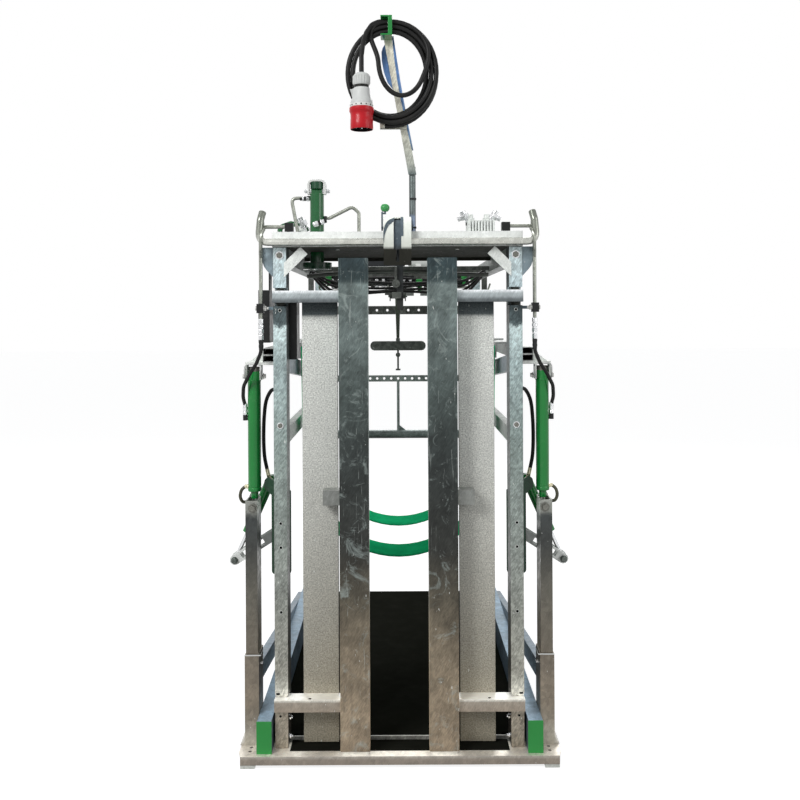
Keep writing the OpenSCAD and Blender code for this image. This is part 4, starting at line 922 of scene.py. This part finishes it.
def post_holes():
    """The drilled holes of the front posts and of the lower door arms."""
    holes, rims = Shape(), Shape()
    for z in (0.895, 0.804, 1.7, 0.56):
        hole(holes, (POST_X, POST_FRONT, z), AHEAD, 0.0052)
        rims.lathe((POST_X, POST_FRONT, z), AHEAD, [(0, 0.0066), (0.0005, 0.0064), (0.0005, 0.0053),
            (0, 0.0053)], 20, capped=False)
    hole(holes, (0.4505, POST_FRONT, 0.167), AHEAD, 0.0046)
    for k in range(5):
        hole(holes, (0.4555 + 0.0018 * k, POST_FRONT - 0.0013 - 0.00005 * k, 0.252), AHEAD, 0.0038)
    detail("post_holes", holes.mirrored(), "hole", "black_rubber", width=0.0001)
    for side, name in SIDES:
        mouth = Shape()
        hole(mouth, (side * 0.3375, -0.95, ARM_TOP), (0, 0, 1), 0.0062)
        detail("arm_hole_" + name, mouth, "hole", "black_rubber", width=0.0001, body="door_" + name)
    detail("post_hole_rims", rims.mirrored(), "pale_zinc", "galvanised_steel", width=0.0001)


def post_bolts():
    """The bolts on the front and outer posts, and the small nuts low on the posts' inner sides."""
    bolts, heads = Shape(), Shape()
    for z, size in ((1.908, 0.024), (1.265, 0.019)):
        heads.bolt((POST_X, POST_FRONT - 0.0018, z), AHEAD, size, turn=z * 9)
        bolts.lathe((POST_X, POST_FRONT, z), AHEAD, [(0, size * 0.66), (0.0018, size * 0.63),
            (0.0018, 0)])
    heads.bolt((OUTER_POST_X, -0.9115, 0.948), AHEAD, 0.026, turn=0.4)
    heads.lathe((OUTER_POST_X, -0.9105, 0.948), AHEAD, [(0, 0.0175), (0.0012, 0.017), (0.0012, 0)])
    for z in (0.155, 0.083):
        nut_run(bolts, (0.4205, -0.912, z), (0.4, -0.912, z), (0.0, 0.002, 0.01, 20),
            (0.002, 0.009, 0.0078, 6), (0.009, 0.014, 0.0042, 12))
    detail("post_washers", bolts.mirrored(), "chrome", "bright_steel", width=0.0004)
    detail("post_bolt_heads", heads.mirrored(), "dark_steel", "bright_steel", width=0.0006)


def hinge_tabs():
    """The chamfered lower ends of the hinge channels, over the lower door arms."""
    tabs = Shape()
    x0, x1, low, high, cut = 0.4222, 0.4698, 0.2414, 0.264, 0.006
    tabs.prism([(x0, high), (x0, low + cut), (x0 + cut, low), (x1 - cut, low), (x1, low + cut),
        (x1, high)], -0.9352, -0.9338)
    detail("hinge_tabs", tabs.mirrored(), "post", "galvanised_steel", width=0.0004)


def hinge_nuts():
    """The dark nuts and washers of the hinge pins, above and below each door arm."""
    nuts = Shape()
    for z0, up in ((1.7745, 1), (1.7285, -1), (0.2405, 1), (0.1945, -1)):
        axis = (0, 0, up)
        nuts.disc((POST_X, HINGE_Y, z0), axis, 0.0215, 0.0022)
        nuts.lathe((POST_X, HINGE_Y, z0 + up * 0.0022), axis, [(0, 0.0165), (0.007, 0.0165),
            (0.0078, 0.015), (0.0078, 0)], 6, 0.35)
    detail("hinge_nuts", nuts.mirrored(), "hinge_steel", "bright_steel")


post_holes()
post_bolts()
hinge_tabs()
hinge_nuts()

# Latch

LATCH_ARC = (-0.925, 1.982)
SHADE_OUT, SHADE_IN, SHADE_FOOT = 0.06, 0.056, 1.925
COVER_R = 0.0713
SLOT_ROWS = 12
SLOT_Z = (1.9735, 2.05)


def latch_inside():
    """Painted shade on the latch cover: a dark sheet behind the slot for the shade inside, the slot's
    wide part, and the grey painted reflection arc on the left.
    """
    y, z = LATCH_ARC
    arc = [math.radians(a) for a in range(92, 181, 8)]
    slot_shade = Shape()
    outside = [(y + SHADE_OUT * math.cos(a), z + SHADE_OUT * math.sin(a)) for a in arc]
    inside = [(y + SHADE_IN * math.cos(a), z + SHADE_IN * math.sin(a)) for a in reversed(arc)]
    slot_shade.slab(outside + [(y - SHADE_OUT, SHADE_FOOT), (y - SHADE_IN, SHADE_FOOT)] + inside, -0.024,
        0.024)
    detail("latch_slot_shade", slot_shade, "latch_steel", "galvanised_steel")

    def cover_y(h):
        """The front of the cover at a height, just proud of it."""
        return y - COVER_R if h < z else y - math.sqrt(max(0.0, COVER_R ** 2 - (h - z) ** 2))

    shade = Shape()
    # The grey arc on the left is a painted reflection; the strip on the right darkens the slot's wide
    # part as painted shade.
    outer = smooth_path([(-0.0523, 0, 1.963), (-0.0515, 0, 1.995), (-0.0439, 0, 2.021), (-0.03, 0, 2.037),
        (-0.0118, 0, 2.0465)], 5)
    inner = smooth_path([(-0.0505, 0, 1.944), (-0.0475, 0, 1.977), (-0.0346, 0, 2.009),
        (-0.023, 0, 2.022), (-0.0118, 0, 2.032)], 5)
    shade.sheet(*([(q.x, cover_y(q.z), q.z) for q in row] for row in (outer, inner)))
    rows = [SLOT_Z[0] + (SLOT_Z[1] - SLOT_Z[0]) * k / SLOT_ROWS for k in range(SLOT_ROWS + 1)]
    shade.sheet(*([(x, cover_y(h), h) for h in rows] for x in (0.0118, 0.0221)))
    detail("latch_painted_shade", shade, "latch_steel", "galvanised_steel", width=0.0)


latch_inside()


def latch_pin():
    """The spring pin below the latch: a round eye, its bolt and a flat catch."""
    pin = Shape()
    x = -0.006
    pin.lathe((x, -0.9005, 1.8), AHEAD, [(0, 0.016), (0.012, 0.016), (0.014, 0.014), (0.014, 0.0)], 24)
    pin.bolt((x, -0.9145, 1.8), AHEAD, 0.016)
    pin.rod((x, -0.908, 1.862), (x, -0.908, 1.816), 0.0055)
    pin.box((-0.022, -0.912, 1.744), (0.014, -0.9005, 1.768))
    detail("latch_pin", pin, "dark_zinc", "bright_steel")


latch_pin()

# Press

PRESS_X, PRESS_Y = -0.328, -0.65
LUG_Z = 2.188


def press_head():
    """The rounded steel strap over the press cylinder, with its pin and nuts."""
    half, thick, top = 0.0335, 0.0085, LUG_Z + 0.05
    r = 0.016
    path = [(-half, LUG_Z - 0.014), (-half, top - thick - r)]
    path += [(-half + r - r * math.cos(a), top - thick - r + r * math.sin(a))
        for a in (math.radians(d) for d in range(15, 91, 15))]
    outer, inner = [], []
    n = len(path)
    for i in range(n):
        a, b = Vector(path[max(0, i - 1)]), Vector(path[min(n - 1, i + 1)])
        t = (b - a).normalized()
        side = Vector((-t.y, t.x)) * (thick / 2)
        outer.append(Vector(path[i]) + side)
        inner.append(Vector(path[i]) - side)
    left = [(p.x, p.y) for p in outer]
    right = [(-x, z) for x, z in reversed(left)]
    left_in = [(p.x, p.y) for p in inner]
    outline = left + right + [(-x, z) for x, z in left_in] + list(reversed(left_in))
    strap = Shape().prism([(PRESS_X + x, z) for x, z in outline], PRESS_Y - 0.018, PRESS_Y + 0.018,
        strip=True)
    detail("press_strap", strap, "white_paint", "bright_steel", "press_clevis")
    pin = Shape()
    for side in (-1, 1):
        at = PRESS_X + side * 0.0375
        pin.disc((at, PRESS_Y, LUG_Z), (side, 0, 0), 0.011, 0.002)
        pin.lathe((at + side * 0.002, PRESS_Y, LUG_Z), (side, 0, 0),
            [(0, 0.0095), (0.008, 0.0095), (0.0095, 0.0082), (0.0095, 0.005), (0.013, 0.005),
            (0.0135, 0)], 6)
    pin.rod((PRESS_X - 0.036, PRESS_Y, LUG_Z), (PRESS_X + 0.036, PRESS_Y, LUG_Z), 0.006)
    pin.lathe((PRESS_X + 0.049, PRESS_Y, LUG_Z), (1, 0, 0), [(0, 0.0078), (0.004, 0.0078), (0.005, 0)],
        20)
    cap = Shape()
    cap.lathe((PRESS_X, PRESS_Y, 0), (0, 0, 1), [(2.196, 0.0), (2.196, 0.0262), (2.224, 0.0262),
        (2.226, 0.024), (2.226, 0.0)], 40)
    detail("press_cap", cap, "dark_green", "dark_green_paint", "press_clevis")
    detail("press_pin", pin, "chrome", "bright_steel", "press_clevis")


press_head()

# Pipe fittings

def pipe_nuts():
    """The bright nuts and dark rings where the press cylinder's pipes start and end."""
    silver, dark = Shape(), Shape()
    high = (PRESS_X - 0.03, PRESS_Y, 2.158)
    nut_run(silver, high, (high[0] - 1, high[1], high[2]), (0.0, 0.014, 0.0115, 6),
        (0.022, 0.03, 0.0105, 24))
    nut_run(dark, high, (high[0] - 1, high[1], high[2]), (0.014, 0.022, 0.0095, 24),
        (0.03, 0.04, 0.0085, 6))
    front = (PRESS_X - 0.012, PRESS_Y - 0.036, 2.048)
    out = (PRESS_X + 0.05, PRESS_Y - 0.03, 2.068)
    nut_run(silver, front, out, (0.0, 0.02, 0.0125, 6), (0.03, 0.046, 0.0115, 6))
    nut_run(dark, front, out, (0.02, 0.03, 0.0095, 24), (0.046, 0.056, 0.0085, 24))
    silver.disc((PRESS_X - 0.004, PRESS_Y - 0.024, 2.051), AHEAD, 0.011, 0.012)
    for x in (-0.404, -0.157):
        nut_run(dark, (x, PRESS_Y, 1.9445), (x, PRESS_Y, 2.1), (0.0, 0.016, 0.0135, 6),
            (0.016, 0.034, 0.011, 24))
        nut_run(silver, (x, PRESS_Y, 1.9785), (x, PRESS_Y, 2.1), (0.0, 0.01, 0.01, 6))
    detail("pipe_nuts_bright", silver, "chrome", "bright_steel")
    detail("pipe_nuts_dark", dark, "black", "black_paint")


def valve_fittings():
    """The tilted elbows on the right valve block and the coupling on the left one."""
    bright_parts, dark = Shape(), Shape()
    for x, lean in ((0.296, -0.62), (0.372, 0.62)):
        foot = (x, -0.64, 2.058)
        tip = (x + lean * 0.052, -0.65, 2.058 + 0.046)
        nut_run(bright_parts, foot, tip, (-0.006, 0.016, 0.015, 6), (0.016, 0.024, 0.0115, 24),
            (0.024, 0.042, 0.0165, 6), (0.042, 0.06, 0.012, 24))
        side = x + lean * 0.03
        nut_run(bright_parts, (side, -0.65, 2.083), (side + lean * 0.05, -0.65, 2.07),
            (0.0, 0.02, 0.014, 6), (0.02, 0.034, 0.0105, 24))
        nut_run(dark, foot, (x, -0.64, 1.9), (0.0, 0.012, 0.017, 24))
    nut_run(bright_parts, (-0.377, -0.6, 2.03), (-0.392, -0.604, 2.06), (-0.004, 0.014, 0.0205, 12),
        (0.014, 0.022, 0.015, 24), (0.022, 0.046, 0.0195, 6), (0.046, 0.058, 0.014, 24),
        (0.058, 0.062, 0.016, 24))
    nut_run(dark, (-0.43, -0.64, 1.985), (-0.47, -0.64, 1.985), (0.0, 0.016, 0.012, 6),
        (0.016, 0.03, 0.0095, 24))
    detail("valve_fittings", bright_parts, "chrome", "bright_steel")
    detail("valve_fitting_seals", dark, "black", "black_paint")


def pipe_clamps():
    """The black clamps that hold the two down pipes, their nuts, and the ribbed unions below them."""
    nut_y, nut_z = -0.948, 1.708
    blocks, nuts, arms, bands, unions = Shape(), Shape(), Shape(), Shape(), Shape()
    for y0, y1 in ((-0.957, -0.9405), (-0.9395, -0.924)):
        blocks.box((0.5045, y0, 1.69), (0.5305, y1, 1.7255))
    blocks.box((0.5055, -0.9408, 1.692), (0.5295, -0.9392, 1.7235))
    nut_run(nuts, (0.5045, nut_y, nut_z), (0.4, nut_y, nut_z), (0.0, 0.003, 0.012, 20),
        (0.003, 0.011, 0.01, 6), (0.011, 0.019, 0.005, 16))
    nut_run(nuts, (0.5305, nut_y, nut_z), (0.6, nut_y, nut_z), (0.0, 0.005, 0.009, 20))
    arms.box((0.4712, -0.9235, 1.702), (0.53, -0.92, 1.714))
    nut_run(bands, (0.512, PIPE_Y, 2.026), (0.5, PIPE_Y, 2.026), (0.0, 0.01, 0.0092, 24))
    z = HOSE_TOP + 0.004
    parts = [(0.0, 0.018, 0.0105, 6), (0.018, 0.026, 0.0086, 20), (0.026, 0.04, 0.0112, 6),
        (0.04, 0.046, 0.0088, 20), (0.046, 0.058, 0.0104, 20), (0.058, 0.063, 0.0084, 20),
        (0.063, 0.08, 0.0098, 20)]
    nut_run(unions, (PIPE_X, PIPE_Y, z), (PIPE_X, PIPE_Y, z + 1), *parts)
    detail("pipe_clamps", blocks.mirrored(), "black", "black_paint")
    detail("clamp_nuts", nuts.mirrored(), "bolt_zinc", "bright_steel")
    detail("clamp_arms", arms.mirrored(), "slate_zinc", "galvanised_steel")
    detail("pipe_unions", unions.mirrored(), "chrome", "bright_steel")
    detail("pipe_bands", bands.mirrored(), "white_paint", "bright_steel")


def rail_straps():
    """The bent ends of the down pipes where they pass in front of the handle rail."""
    straps = Shape()
    path = smooth_path([(0.498, -0.972, 2.004), (0.505, -0.985, 1.985), (0.509, -0.987, 1.962),
        (0.511, -0.982, 1.935), (0.514, -0.965, 1.915), (0.515, -0.95, 1.9)], 5)
    straps.sweep(path, 0.0058, 10)
    detail("rail_straps", straps.mirrored(), "pipe", "galvanised_steel")


pipe_nuts()
valve_fittings()
pipe_clamps()
rail_straps()

# Valve bank under the roof

BANK_Y = 0.1
BEAM_IN = 0.4205


def cross_bars():
    """The bars under the roof that carry the valves."""
    bars = Shape()
    for y, z0, z1 in ((BANK_Y, 1.884, 1.906), (BANK_Y + 0.15, 1.88, 1.892), (-0.18, 1.886, 1.904)):
        bars.box((-BEAM_IN, y, z0), (BEAM_IN, y + 0.03, z1))
    bars.box((-0.33, BANK_Y + 0.004, 1.822), (0.33, BANK_Y + 0.01, 1.886))
    for x in (-0.3, -0.12, 0.14, 0.31):
        bars.box((x - 0.012, BANK_Y + 0.01, 1.81), (x + 0.012, BANK_Y + 0.016, 1.89))
    detail("valve_cross_bars", bars, "dark_zinc", "galvanised_steel")


def valve_bank():
    """Spool valves on the cross bar: black bodies, light end caps, green coils and bright unions."""
    bodies, caps, coils, unions = Shape(), Shape(), Shape(), Shape()
    for x in (-0.3, -0.205, -0.085, 0.045, 0.215, 0.3):
        bodies.box((x - 0.034, BANK_Y - 0.05, 1.826), (x + 0.034, BANK_Y + 0.003, 1.872))
        bodies.rod((x - 0.046, BANK_Y - 0.024, 1.846), (x + 0.046, BANK_Y - 0.024, 1.846), 0.014)
        for dx in (-0.016, 0.016):
            nut_run(unions, (x + dx, BANK_Y - 0.026, 1.826), (x + dx, BANK_Y - 0.026, 1.78),
                (0.0, 0.01, 0.01, 6), (0.01, 0.018, 0.0078, 20))
            nut_run(unions, (x + dx, BANK_Y - 0.05, 1.85), (x + dx, BANK_Y - 0.09, 1.85),
                (0.0, 0.008, 0.009, 6), (0.008, 0.014, 0.007, 20))
    for x in (-0.262, 0.06, 0.128):
        caps.box((x - 0.018, BANK_Y - 0.052, 1.774), (x + 0.018, BANK_Y - 0.01, 1.814))
    for x, z in ((-0.335, 1.862), (-0.372, 1.858), (0.104, 1.836), (0.322, 1.866), (0.368, 1.866)):
        coils.rod((x, BANK_Y - 0.062, z - 0.022), (x, BANK_Y - 0.062, z + 0.018), 0.015, 24, 0.002)
        coils.rod((x, BANK_Y - 0.062, z - 0.04), (x, BANK_Y - 0.062, z - 0.02), 0.0085, 16, 0.001)
        for k in range(4):
            coils.lathe((x, BANK_Y - 0.062, z - 0.018 + 0.01 * k), (0, 0, 1),
                [(0, 0.015), (0.002, 0.0175), (0.004, 0.015)], 24)
    detail("valve_bodies", bodies, "black", "black_paint")
    detail("valve_caps", caps, "white_paint", "pale_zinc")
    detail("valve_coils", coils, "cap_green", "green_paint")
    detail("valve_unions", unions, "chrome", "bright_steel")


def hose_run(name, points, radius, look):
    """A fixed hose through the points."""
    detail(name, Shape().sweep(smooth_path(points, 7), radius, 12), look, "black_rubber", width=0.0)


def bank_hoses():
    """Hoses and pipes from valve to valve under the roof."""
    hose_run("bank_pipe_arched", [(-0.42, -0.14, 1.862), (-0.3, -0.15, 1.872), (-0.17, -0.16, 1.876),
        (-0.06, -0.165, 1.884), (0.02, -0.165, 1.886), (0.13, -0.16, 1.878), (0.3, -0.15, 1.868),
        (0.42, -0.14, 1.866)], 0.0095, "grey_hose")
    runs = [(1.838, -0.02, 0.006, 0.0), (1.818, 0.0, 0.009, 1.3), (1.8, 0.02, 0.006, 2.1),
        (1.786, -0.01, 0.008, 3.4), (1.856, 0.045, 0.007, 4.4)]
    for index, (z, y, lift, phase) in enumerate(runs):
        points = [(-0.42 + 0.105 * k, y + 0.018 * math.sin(1.7 * k + phase),
            z + lift * math.sin(1.1 * k + phase)) for k in range(9)]
        points[0] = (-BEAM_IN, points[0][1], 1.895 - 0.004 * index)
        points[-1] = (BEAM_IN, points[-1][1], 1.895 - 0.004 * index)
        hose_run("bank_hose_%d" % (index + 1), points, 0.0062, "hose")
    pipes = Shape()
    for index, x in enumerate((-0.38, -0.352, -0.245, -0.15, 0.17, 0.262, 0.345)):
        z = 1.79 + 0.011 * (index % 3)
        pipes.sweep(smooth_path([(x, BANK_Y - 0.03, 1.835), (x + 0.004, BANK_Y - 0.06, z + 0.015),
            (x + 0.03, BANK_Y - 0.07, z), (x + 0.085, BANK_Y - 0.055, z + 0.006),
            (x + 0.105, BANK_Y - 0.03, 1.83)], 6), 0.0045, 10)
    detail("bank_pipes", pipes, "pipe", "bright_steel", width=0.0)


cross_bars()
valve_bank()
bank_hoses()

# Lift cylinders

BARREL_Z = (1.004, 1.433)
NECK_Z, NECK_R = 0.9765, 0.0148
LUG_PIN_Z = 1.447
BARREL_R = 0.0252
HEAD_R, HEAD_Z = 0.0238, 1.466


def lift_cylinders():
    """Painted barrels with their end rings, a steel head and a green neck round the rod."""
    barrel, head, neck = Shape(), Shape(), Shape()
    at = (*LIFT_CYL, 0.0)
    z0, z1 = BARREL_Z
    r = BARREL_R
    barrel.lathe(at, (0, 0, 1), [(z0, 0.0), (z0, r - 0.0005), (z0 + 0.002, r + 0.0008),
        (z0 + 0.013, r + 0.0008), (z0 + 0.0145, r), (z0 + 0.0155, r - 0.001), (z0 + 0.0175, r - 0.001),
        (z0 + 0.0185, r), (z1 - 0.0065, r), (z1 - 0.0055, r + 0.001), (z1 - 0.0005, r + 0.001),
        (z1, HEAD_R), (HEAD_Z - 0.001, HEAD_R), (HEAD_Z, HEAD_R - 0.001), (HEAD_Z, 0.0)], 48)
    head.lathe(at, (0, 0, 1), [(HEAD_Z, 0.0), (HEAD_Z, HEAD_R - 0.002), (HEAD_Z + 0.016, HEAD_R - 0.002),
        (HEAD_Z + 0.018, HEAD_R - 0.004), (HEAD_Z + 0.018, 0.0)], 32)
    for x in (-0.006, 0.009):
        head.bolt((LIFT_CYL[0] + x, LIFT_CYL[1] - HEAD_R + 0.003, HEAD_Z + 0.009), AHEAD, 0.009)
    neck.lathe(at, (0, 0, 1), [(NECK_Z, 0.0), (NECK_Z, 0.0135), (0.979, NECK_R), (z0 - 0.0005, NECK_R),
        (z0 - 0.0005, 0.0)], 32)
    detail("lift_barrel_tubes", barrel.mirrored(), "green", "green_paint", "lift_barrels", width=0.0004,
        body="lift")
    detail("lift_barrel_heads", head.mirrored(), "dark_steel", "bright_steel", "lift_barrels",
        body="lift")
    detail("lift_rod_necks", neck.mirrored(), "green", "green_paint", body="lift")


def clevis_bows():
    """The rounded steel bows in front of the barrel heads, with the ends of the lug pins."""
    bows, pins = Shape(), Shape()
    x0, x1, y, top = 0.5245, 0.5875, -0.8865, 1.4945
    r = 0.014
    path = [(x0, y, 1.44), (x0, y, top - r)]
    turns = [math.radians(d) for d in (22, 45, 68)]
    path += [(x0 + r - r * math.cos(a), y, top - r + r * math.sin(a)) for a in turns]
    path += [(x0 + r, y, top), (x1 - r, y, top)]
    path += [(x1 - r + r * math.sin(a), y, top - r + r * math.cos(a)) for a in turns]
    path += [(x1, y, top - r), (x1, y, 1.44)]
    bows.sweep(path, 0.0035, 10)
    for side, at in ((-1, 0.5205), (1, 0.5905)):
        pins.disc((at, LIFT_CYL[1], LUG_PIN_Z), (side, 0, 0), 0.0125, 0.002, 20)
        pins.lathe((at + side * 0.002, LIFT_CYL[1], LUG_PIN_Z), (side, 0, 0),
            [(0, 0.01), (0.0068, 0.01), (0.0075, 0.009), (0.0075, 0.0)], 6)
    detail("clevis_bows", bows.mirrored(), "white_paint", "pale_zinc", width=0.0, body="lift")
    detail("lug_pin_ends", pins.mirrored(), "bolt_zinc", "bright_steel", body="lift")


def side_hoses():
    """The hoses behind each lift cylinder: down to the foot rest, and the loop at the barrel's base."""
    down = [(0.4715, -0.85, 1.398), (0.494, -0.842, 1.388), (0.516, -0.818, 1.346), (0.526, -0.803, 1.28),
        (0.529, -0.798, 1.2), (0.526, -0.797, 1.13), (0.516, -0.803, 1.082), (0.51, -0.808, 1.056)]
    loop = [(0.58, -0.857, 1.022), (0.592, -0.858, 1.021), (0.606, -0.86, 1.008), (0.6115, -0.858, 0.984),
        (0.605, -0.846, 0.962), (0.594, -0.818, 0.956), (0.58, -0.797, 0.972), (0.566, -0.797, 1.01),
        (0.558, -0.806, 1.06), (0.556, -0.812, 1.11)]
    for side, name in SIDES:
        for label, points, look, body, radius in (("foot_hose_", down, "hose", "frame", 0.0074),
                ("base_loop_", loop, "olive_hose", "lift", 0.0064)):
            path = smooth_path([(side * x, y, z) for x, y, z in points], 8)
            piece = put(label + name, Shape().sweep(path, radius, 12).mesh(label + name), look, body,
                "black_rubber")
            piece.data.shade_smooth()
    fixed, moving = Shape(), Shape()
    nut_run(fixed, (0.471, -0.85, 1.398), (0.5, -0.85, 1.398), (0.0, 0.006, 0.0105, 6))
    nut_run(fixed, (0.5065, -0.8105, 1.046), (0.5165, -0.803, 1.084), (0.0, 0.01, 0.009, 6),
        (0.01, 0.036, 0.008, 20))
    fixed.lathe((0.504, -0.816, 1.035), (0, 1, 0), [(0, 0.013), (0.012, 0.013)], 24)
    nut_run(moving, (0.578, -0.857, 1.022), (0.6, -0.857, 1.022), (0.0, 0.008, 0.0092, 6),
        (0.008, 0.016, 0.0078, 20))
    nut_run(moving, (0.556, -0.812, 1.135), (0.556, -0.812, 1.08), (0.0, 0.012, 0.0092, 6),
        (0.012, 0.04, 0.0078, 20))
    moving.rod((0.556, -0.834, 1.128), (0.556, -0.806, 1.128), 0.0085, 20)
    detail("foot_hose_fittings", fixed.mirrored(), "brass_zinc", "bright_steel")
    detail("base_loop_fittings", moving.mirrored(), "brass_zinc", "bright_steel", body="lift")


lift_cylinders()
clevis_bows()
side_hoses()

# Foot rests, mast and small fittings

SILL_Y = -0.846
MAT_HALF, SILL_HALF = 0.413, 0.394


def foot_bolts():
    """The bolts in the ends of the foot-rest arms."""
    for side, name in SIDES:
        bolts = Shape()
        bolts.bolt((side * 0.645, -0.8025, 0.722), AHEAD, 0.022, washer=0.028)
        detail("foot_arm_bolts_" + name, bolts, "dark_zinc", "bright_steel", body="foot_arm_" + name)


def mast_bands():
    """Two dark bands round the foot of the mast."""
    bands = Shape()
    for z in (2.1235, 2.014):
        bands.box((0.047, -0.9045, z - 0.0032), (0.0725, -0.8755, z + 0.0032))
    detail("mast_bands", bands, "black", "black_paint")


def mast_web():
    """The slanted web of the mast, a narrow strip on the right and a lens on the left, in blue painted
    shade.
    """
    web = Shape()
    right = [(-0.0115, 2.742), (0.0015, 2.65), (0.0135, 2.573), (0.025, 2.505), (0.0445, 2.398),
        (0.062, 2.306), (0.057, 2.306), (0.036, 2.398), (0.014, 2.505), (0.002, 2.573), (-0.008, 2.65),
        (-0.018, 2.742)]
    web.prism(right, -0.9108, -0.91)
    left = [(-0.0445, 2.72), (-0.053, 2.706), (-0.058, 2.69), (-0.057, 2.655), (-0.049, 2.612),
        (-0.035, 2.572), (-0.01, 2.54), (-0.004, 2.56), (-0.017, 2.64), (-0.027, 2.7), (-0.034, 2.724)]
    web.prism(left, -0.879, -0.8775)
    detail("mast_web", web, "mast_sky_shade", "galvanised_steel", width=0.0)


def floor_front():
    """The mat's front strip, thin black strips of painted shade on the sill's front at its ends beside
    the posts, and the sill's pale lip.
    """
    strip, lip = Shape(), Shape()
    strip.box((-MAT_HALF, -0.956, 0.0458), (MAT_HALF, SILL_Y, 0.0474))
    for x0, x1 in ((-MAT_HALF, -SILL_HALF), (SILL_HALF, MAT_HALF)):
        strip.box((x0, SILL_Y - 0.0012, 0.0466), (x1, SILL_Y - 0.0002, 0.0632))
    lip.box((-SILL_HALF, SILL_Y - 0.0022, 0.0474), (SILL_HALF, SILL_Y - 0.0002, 0.0535))
    detail("mat_front", strip, "mat", "black_rubber", width=0.0003)
    detail("sill_lip", lip, "white_paint", "galvanised_steel", width=0.0003)


def sleeve_trim():
    """The bright rims of the post sleeves and the small flared plates at their feet."""
    rims, feet = Shape(), Shape()
    rims.box((0.5275, -0.9112, 0.3865), (0.5896, -0.9098, 0.3912))
    rims.box((0.5272, -0.9112, 0.3865), (0.5282, -0.85, 0.3912))
    feet.prism([(0.5892, 0.084), (0.5935, 0.07), (0.6, 0.057), (0.6085, 0.0462), (0.5892, 0.0462)],
        -0.908, -0.802)
    detail("sleeve_rims", rims.mirrored(), "white_paint", "pale_zinc", width=0.0003)
    detail("sleeve_feet", feet.mirrored(), "base_zinc", "galvanised_steel")


foot_bolts()
mast_bands()
mast_web()
floor_front()
sleeve_trim()

# Stage

FLOOR_HALF, FLOOR_GLOW = 40.0, 0.84
WORLD_STRENGTH = 0.42
AIM = (0, 0, 1.2)


def stage():
    """A plain floor that looks white to the camera."""
    floor_mesh = bpy.data.meshes.new("floor")
    r = FLOOR_HALF
    floor_mesh.from_pydata([(-r, -r, 0), (r, -r, 0), (r, r, 0), (-r, r, 0)], [], [(0, 1, 2, 3)])
    floor = show("floor", floor_mesh)
    s = Shader("floor")
    s.set(Roughness=0.9, Specular_IOR_Level=0.05)
    s.color((0.36, 0.36, 0.355))
    rays = s.add("ShaderNodeLightPath").outputs
    seen = s.times(s.math("MAXIMUM", rays["Is Camera Ray"], rays["Is Glossy Ray"]), FLOOR_GLOW)
    glow = s.add("ShaderNodeEmission", {"Color": (1.0, 1.0, 1.0), "Strength": seen})
    both = s.add("ShaderNodeAddShader", {0: s.bsdf.outputs[0], 1: glow.outputs[0]})
    s.feed(both.outputs[0], s.tree.nodes["Material Output"].inputs["Surface"])
    floor_mesh.materials.append(MATERIALS["floor"])


def lights():
    """A white world to the camera, a softer one for the light, and three lamps."""
    world = bpy.data.worlds.new("studio")
    bpy.context.scene.world = world
    world.use_nodes = True
    t = Tree(world.node_tree)
    split = t.add("ShaderNodeSeparateXYZ", {0: t.add("ShaderNodeTexCoord").outputs["Generated"]})
    ramp = t.add("ShaderNodeValToRGB", {"Fac": split.outputs["Z"]})
    low, high = ramp.color_ramp.elements
    low.color = (0.55, 0.55, 0.54, 1)
    high.color = (0.86, 0.88, 0.92, 1)
    high.position = 0.7
    background = t.tree.nodes["Background"]
    t.feed(ramp.outputs["Color"], background.inputs["Color"])
    t.feed(WORLD_STRENGTH, background.inputs["Strength"])
    pale = t.add("ShaderNodeBackground", {"Color": (1.0, 1.0, 1.0)})
    rays = t.add("ShaderNodeLightPath").outputs
    seen = t.add("ShaderNodeMath", {0: rays["Is Camera Ray"], 1: rays["Is Glossy Ray"]},
        operation="MAXIMUM")
    mixer = t.add("ShaderNodeMixShader", {"Fac": seen.outputs[0], 1: background.outputs[0],
        2: pale.outputs[0]})
    t.feed(mixer.outputs[0], t.tree.nodes["World Output"].inputs["Surface"])
    for name, at, size, power in (("key", (-3.2, -4.6, 4.6), 2.2, 235),
            ("fill", (4.2, -3.4, 3.0), 3.0, 75), ("back", (0.5, 4.5, 4.8), 3.0, 120)):
        lamp = bpy.data.lights.new(name, "AREA")
        lamp.size = size
        lamp.energy = power
        item = show(name, lamp)
        item.location = at
        item.rotation_euler = (Vector(AIM) - Vector(at)).to_track_quat("-Z", "Y").to_euler()


stage()
lights()
bpy.context.scene.view_settings.view_transform = "Standard"
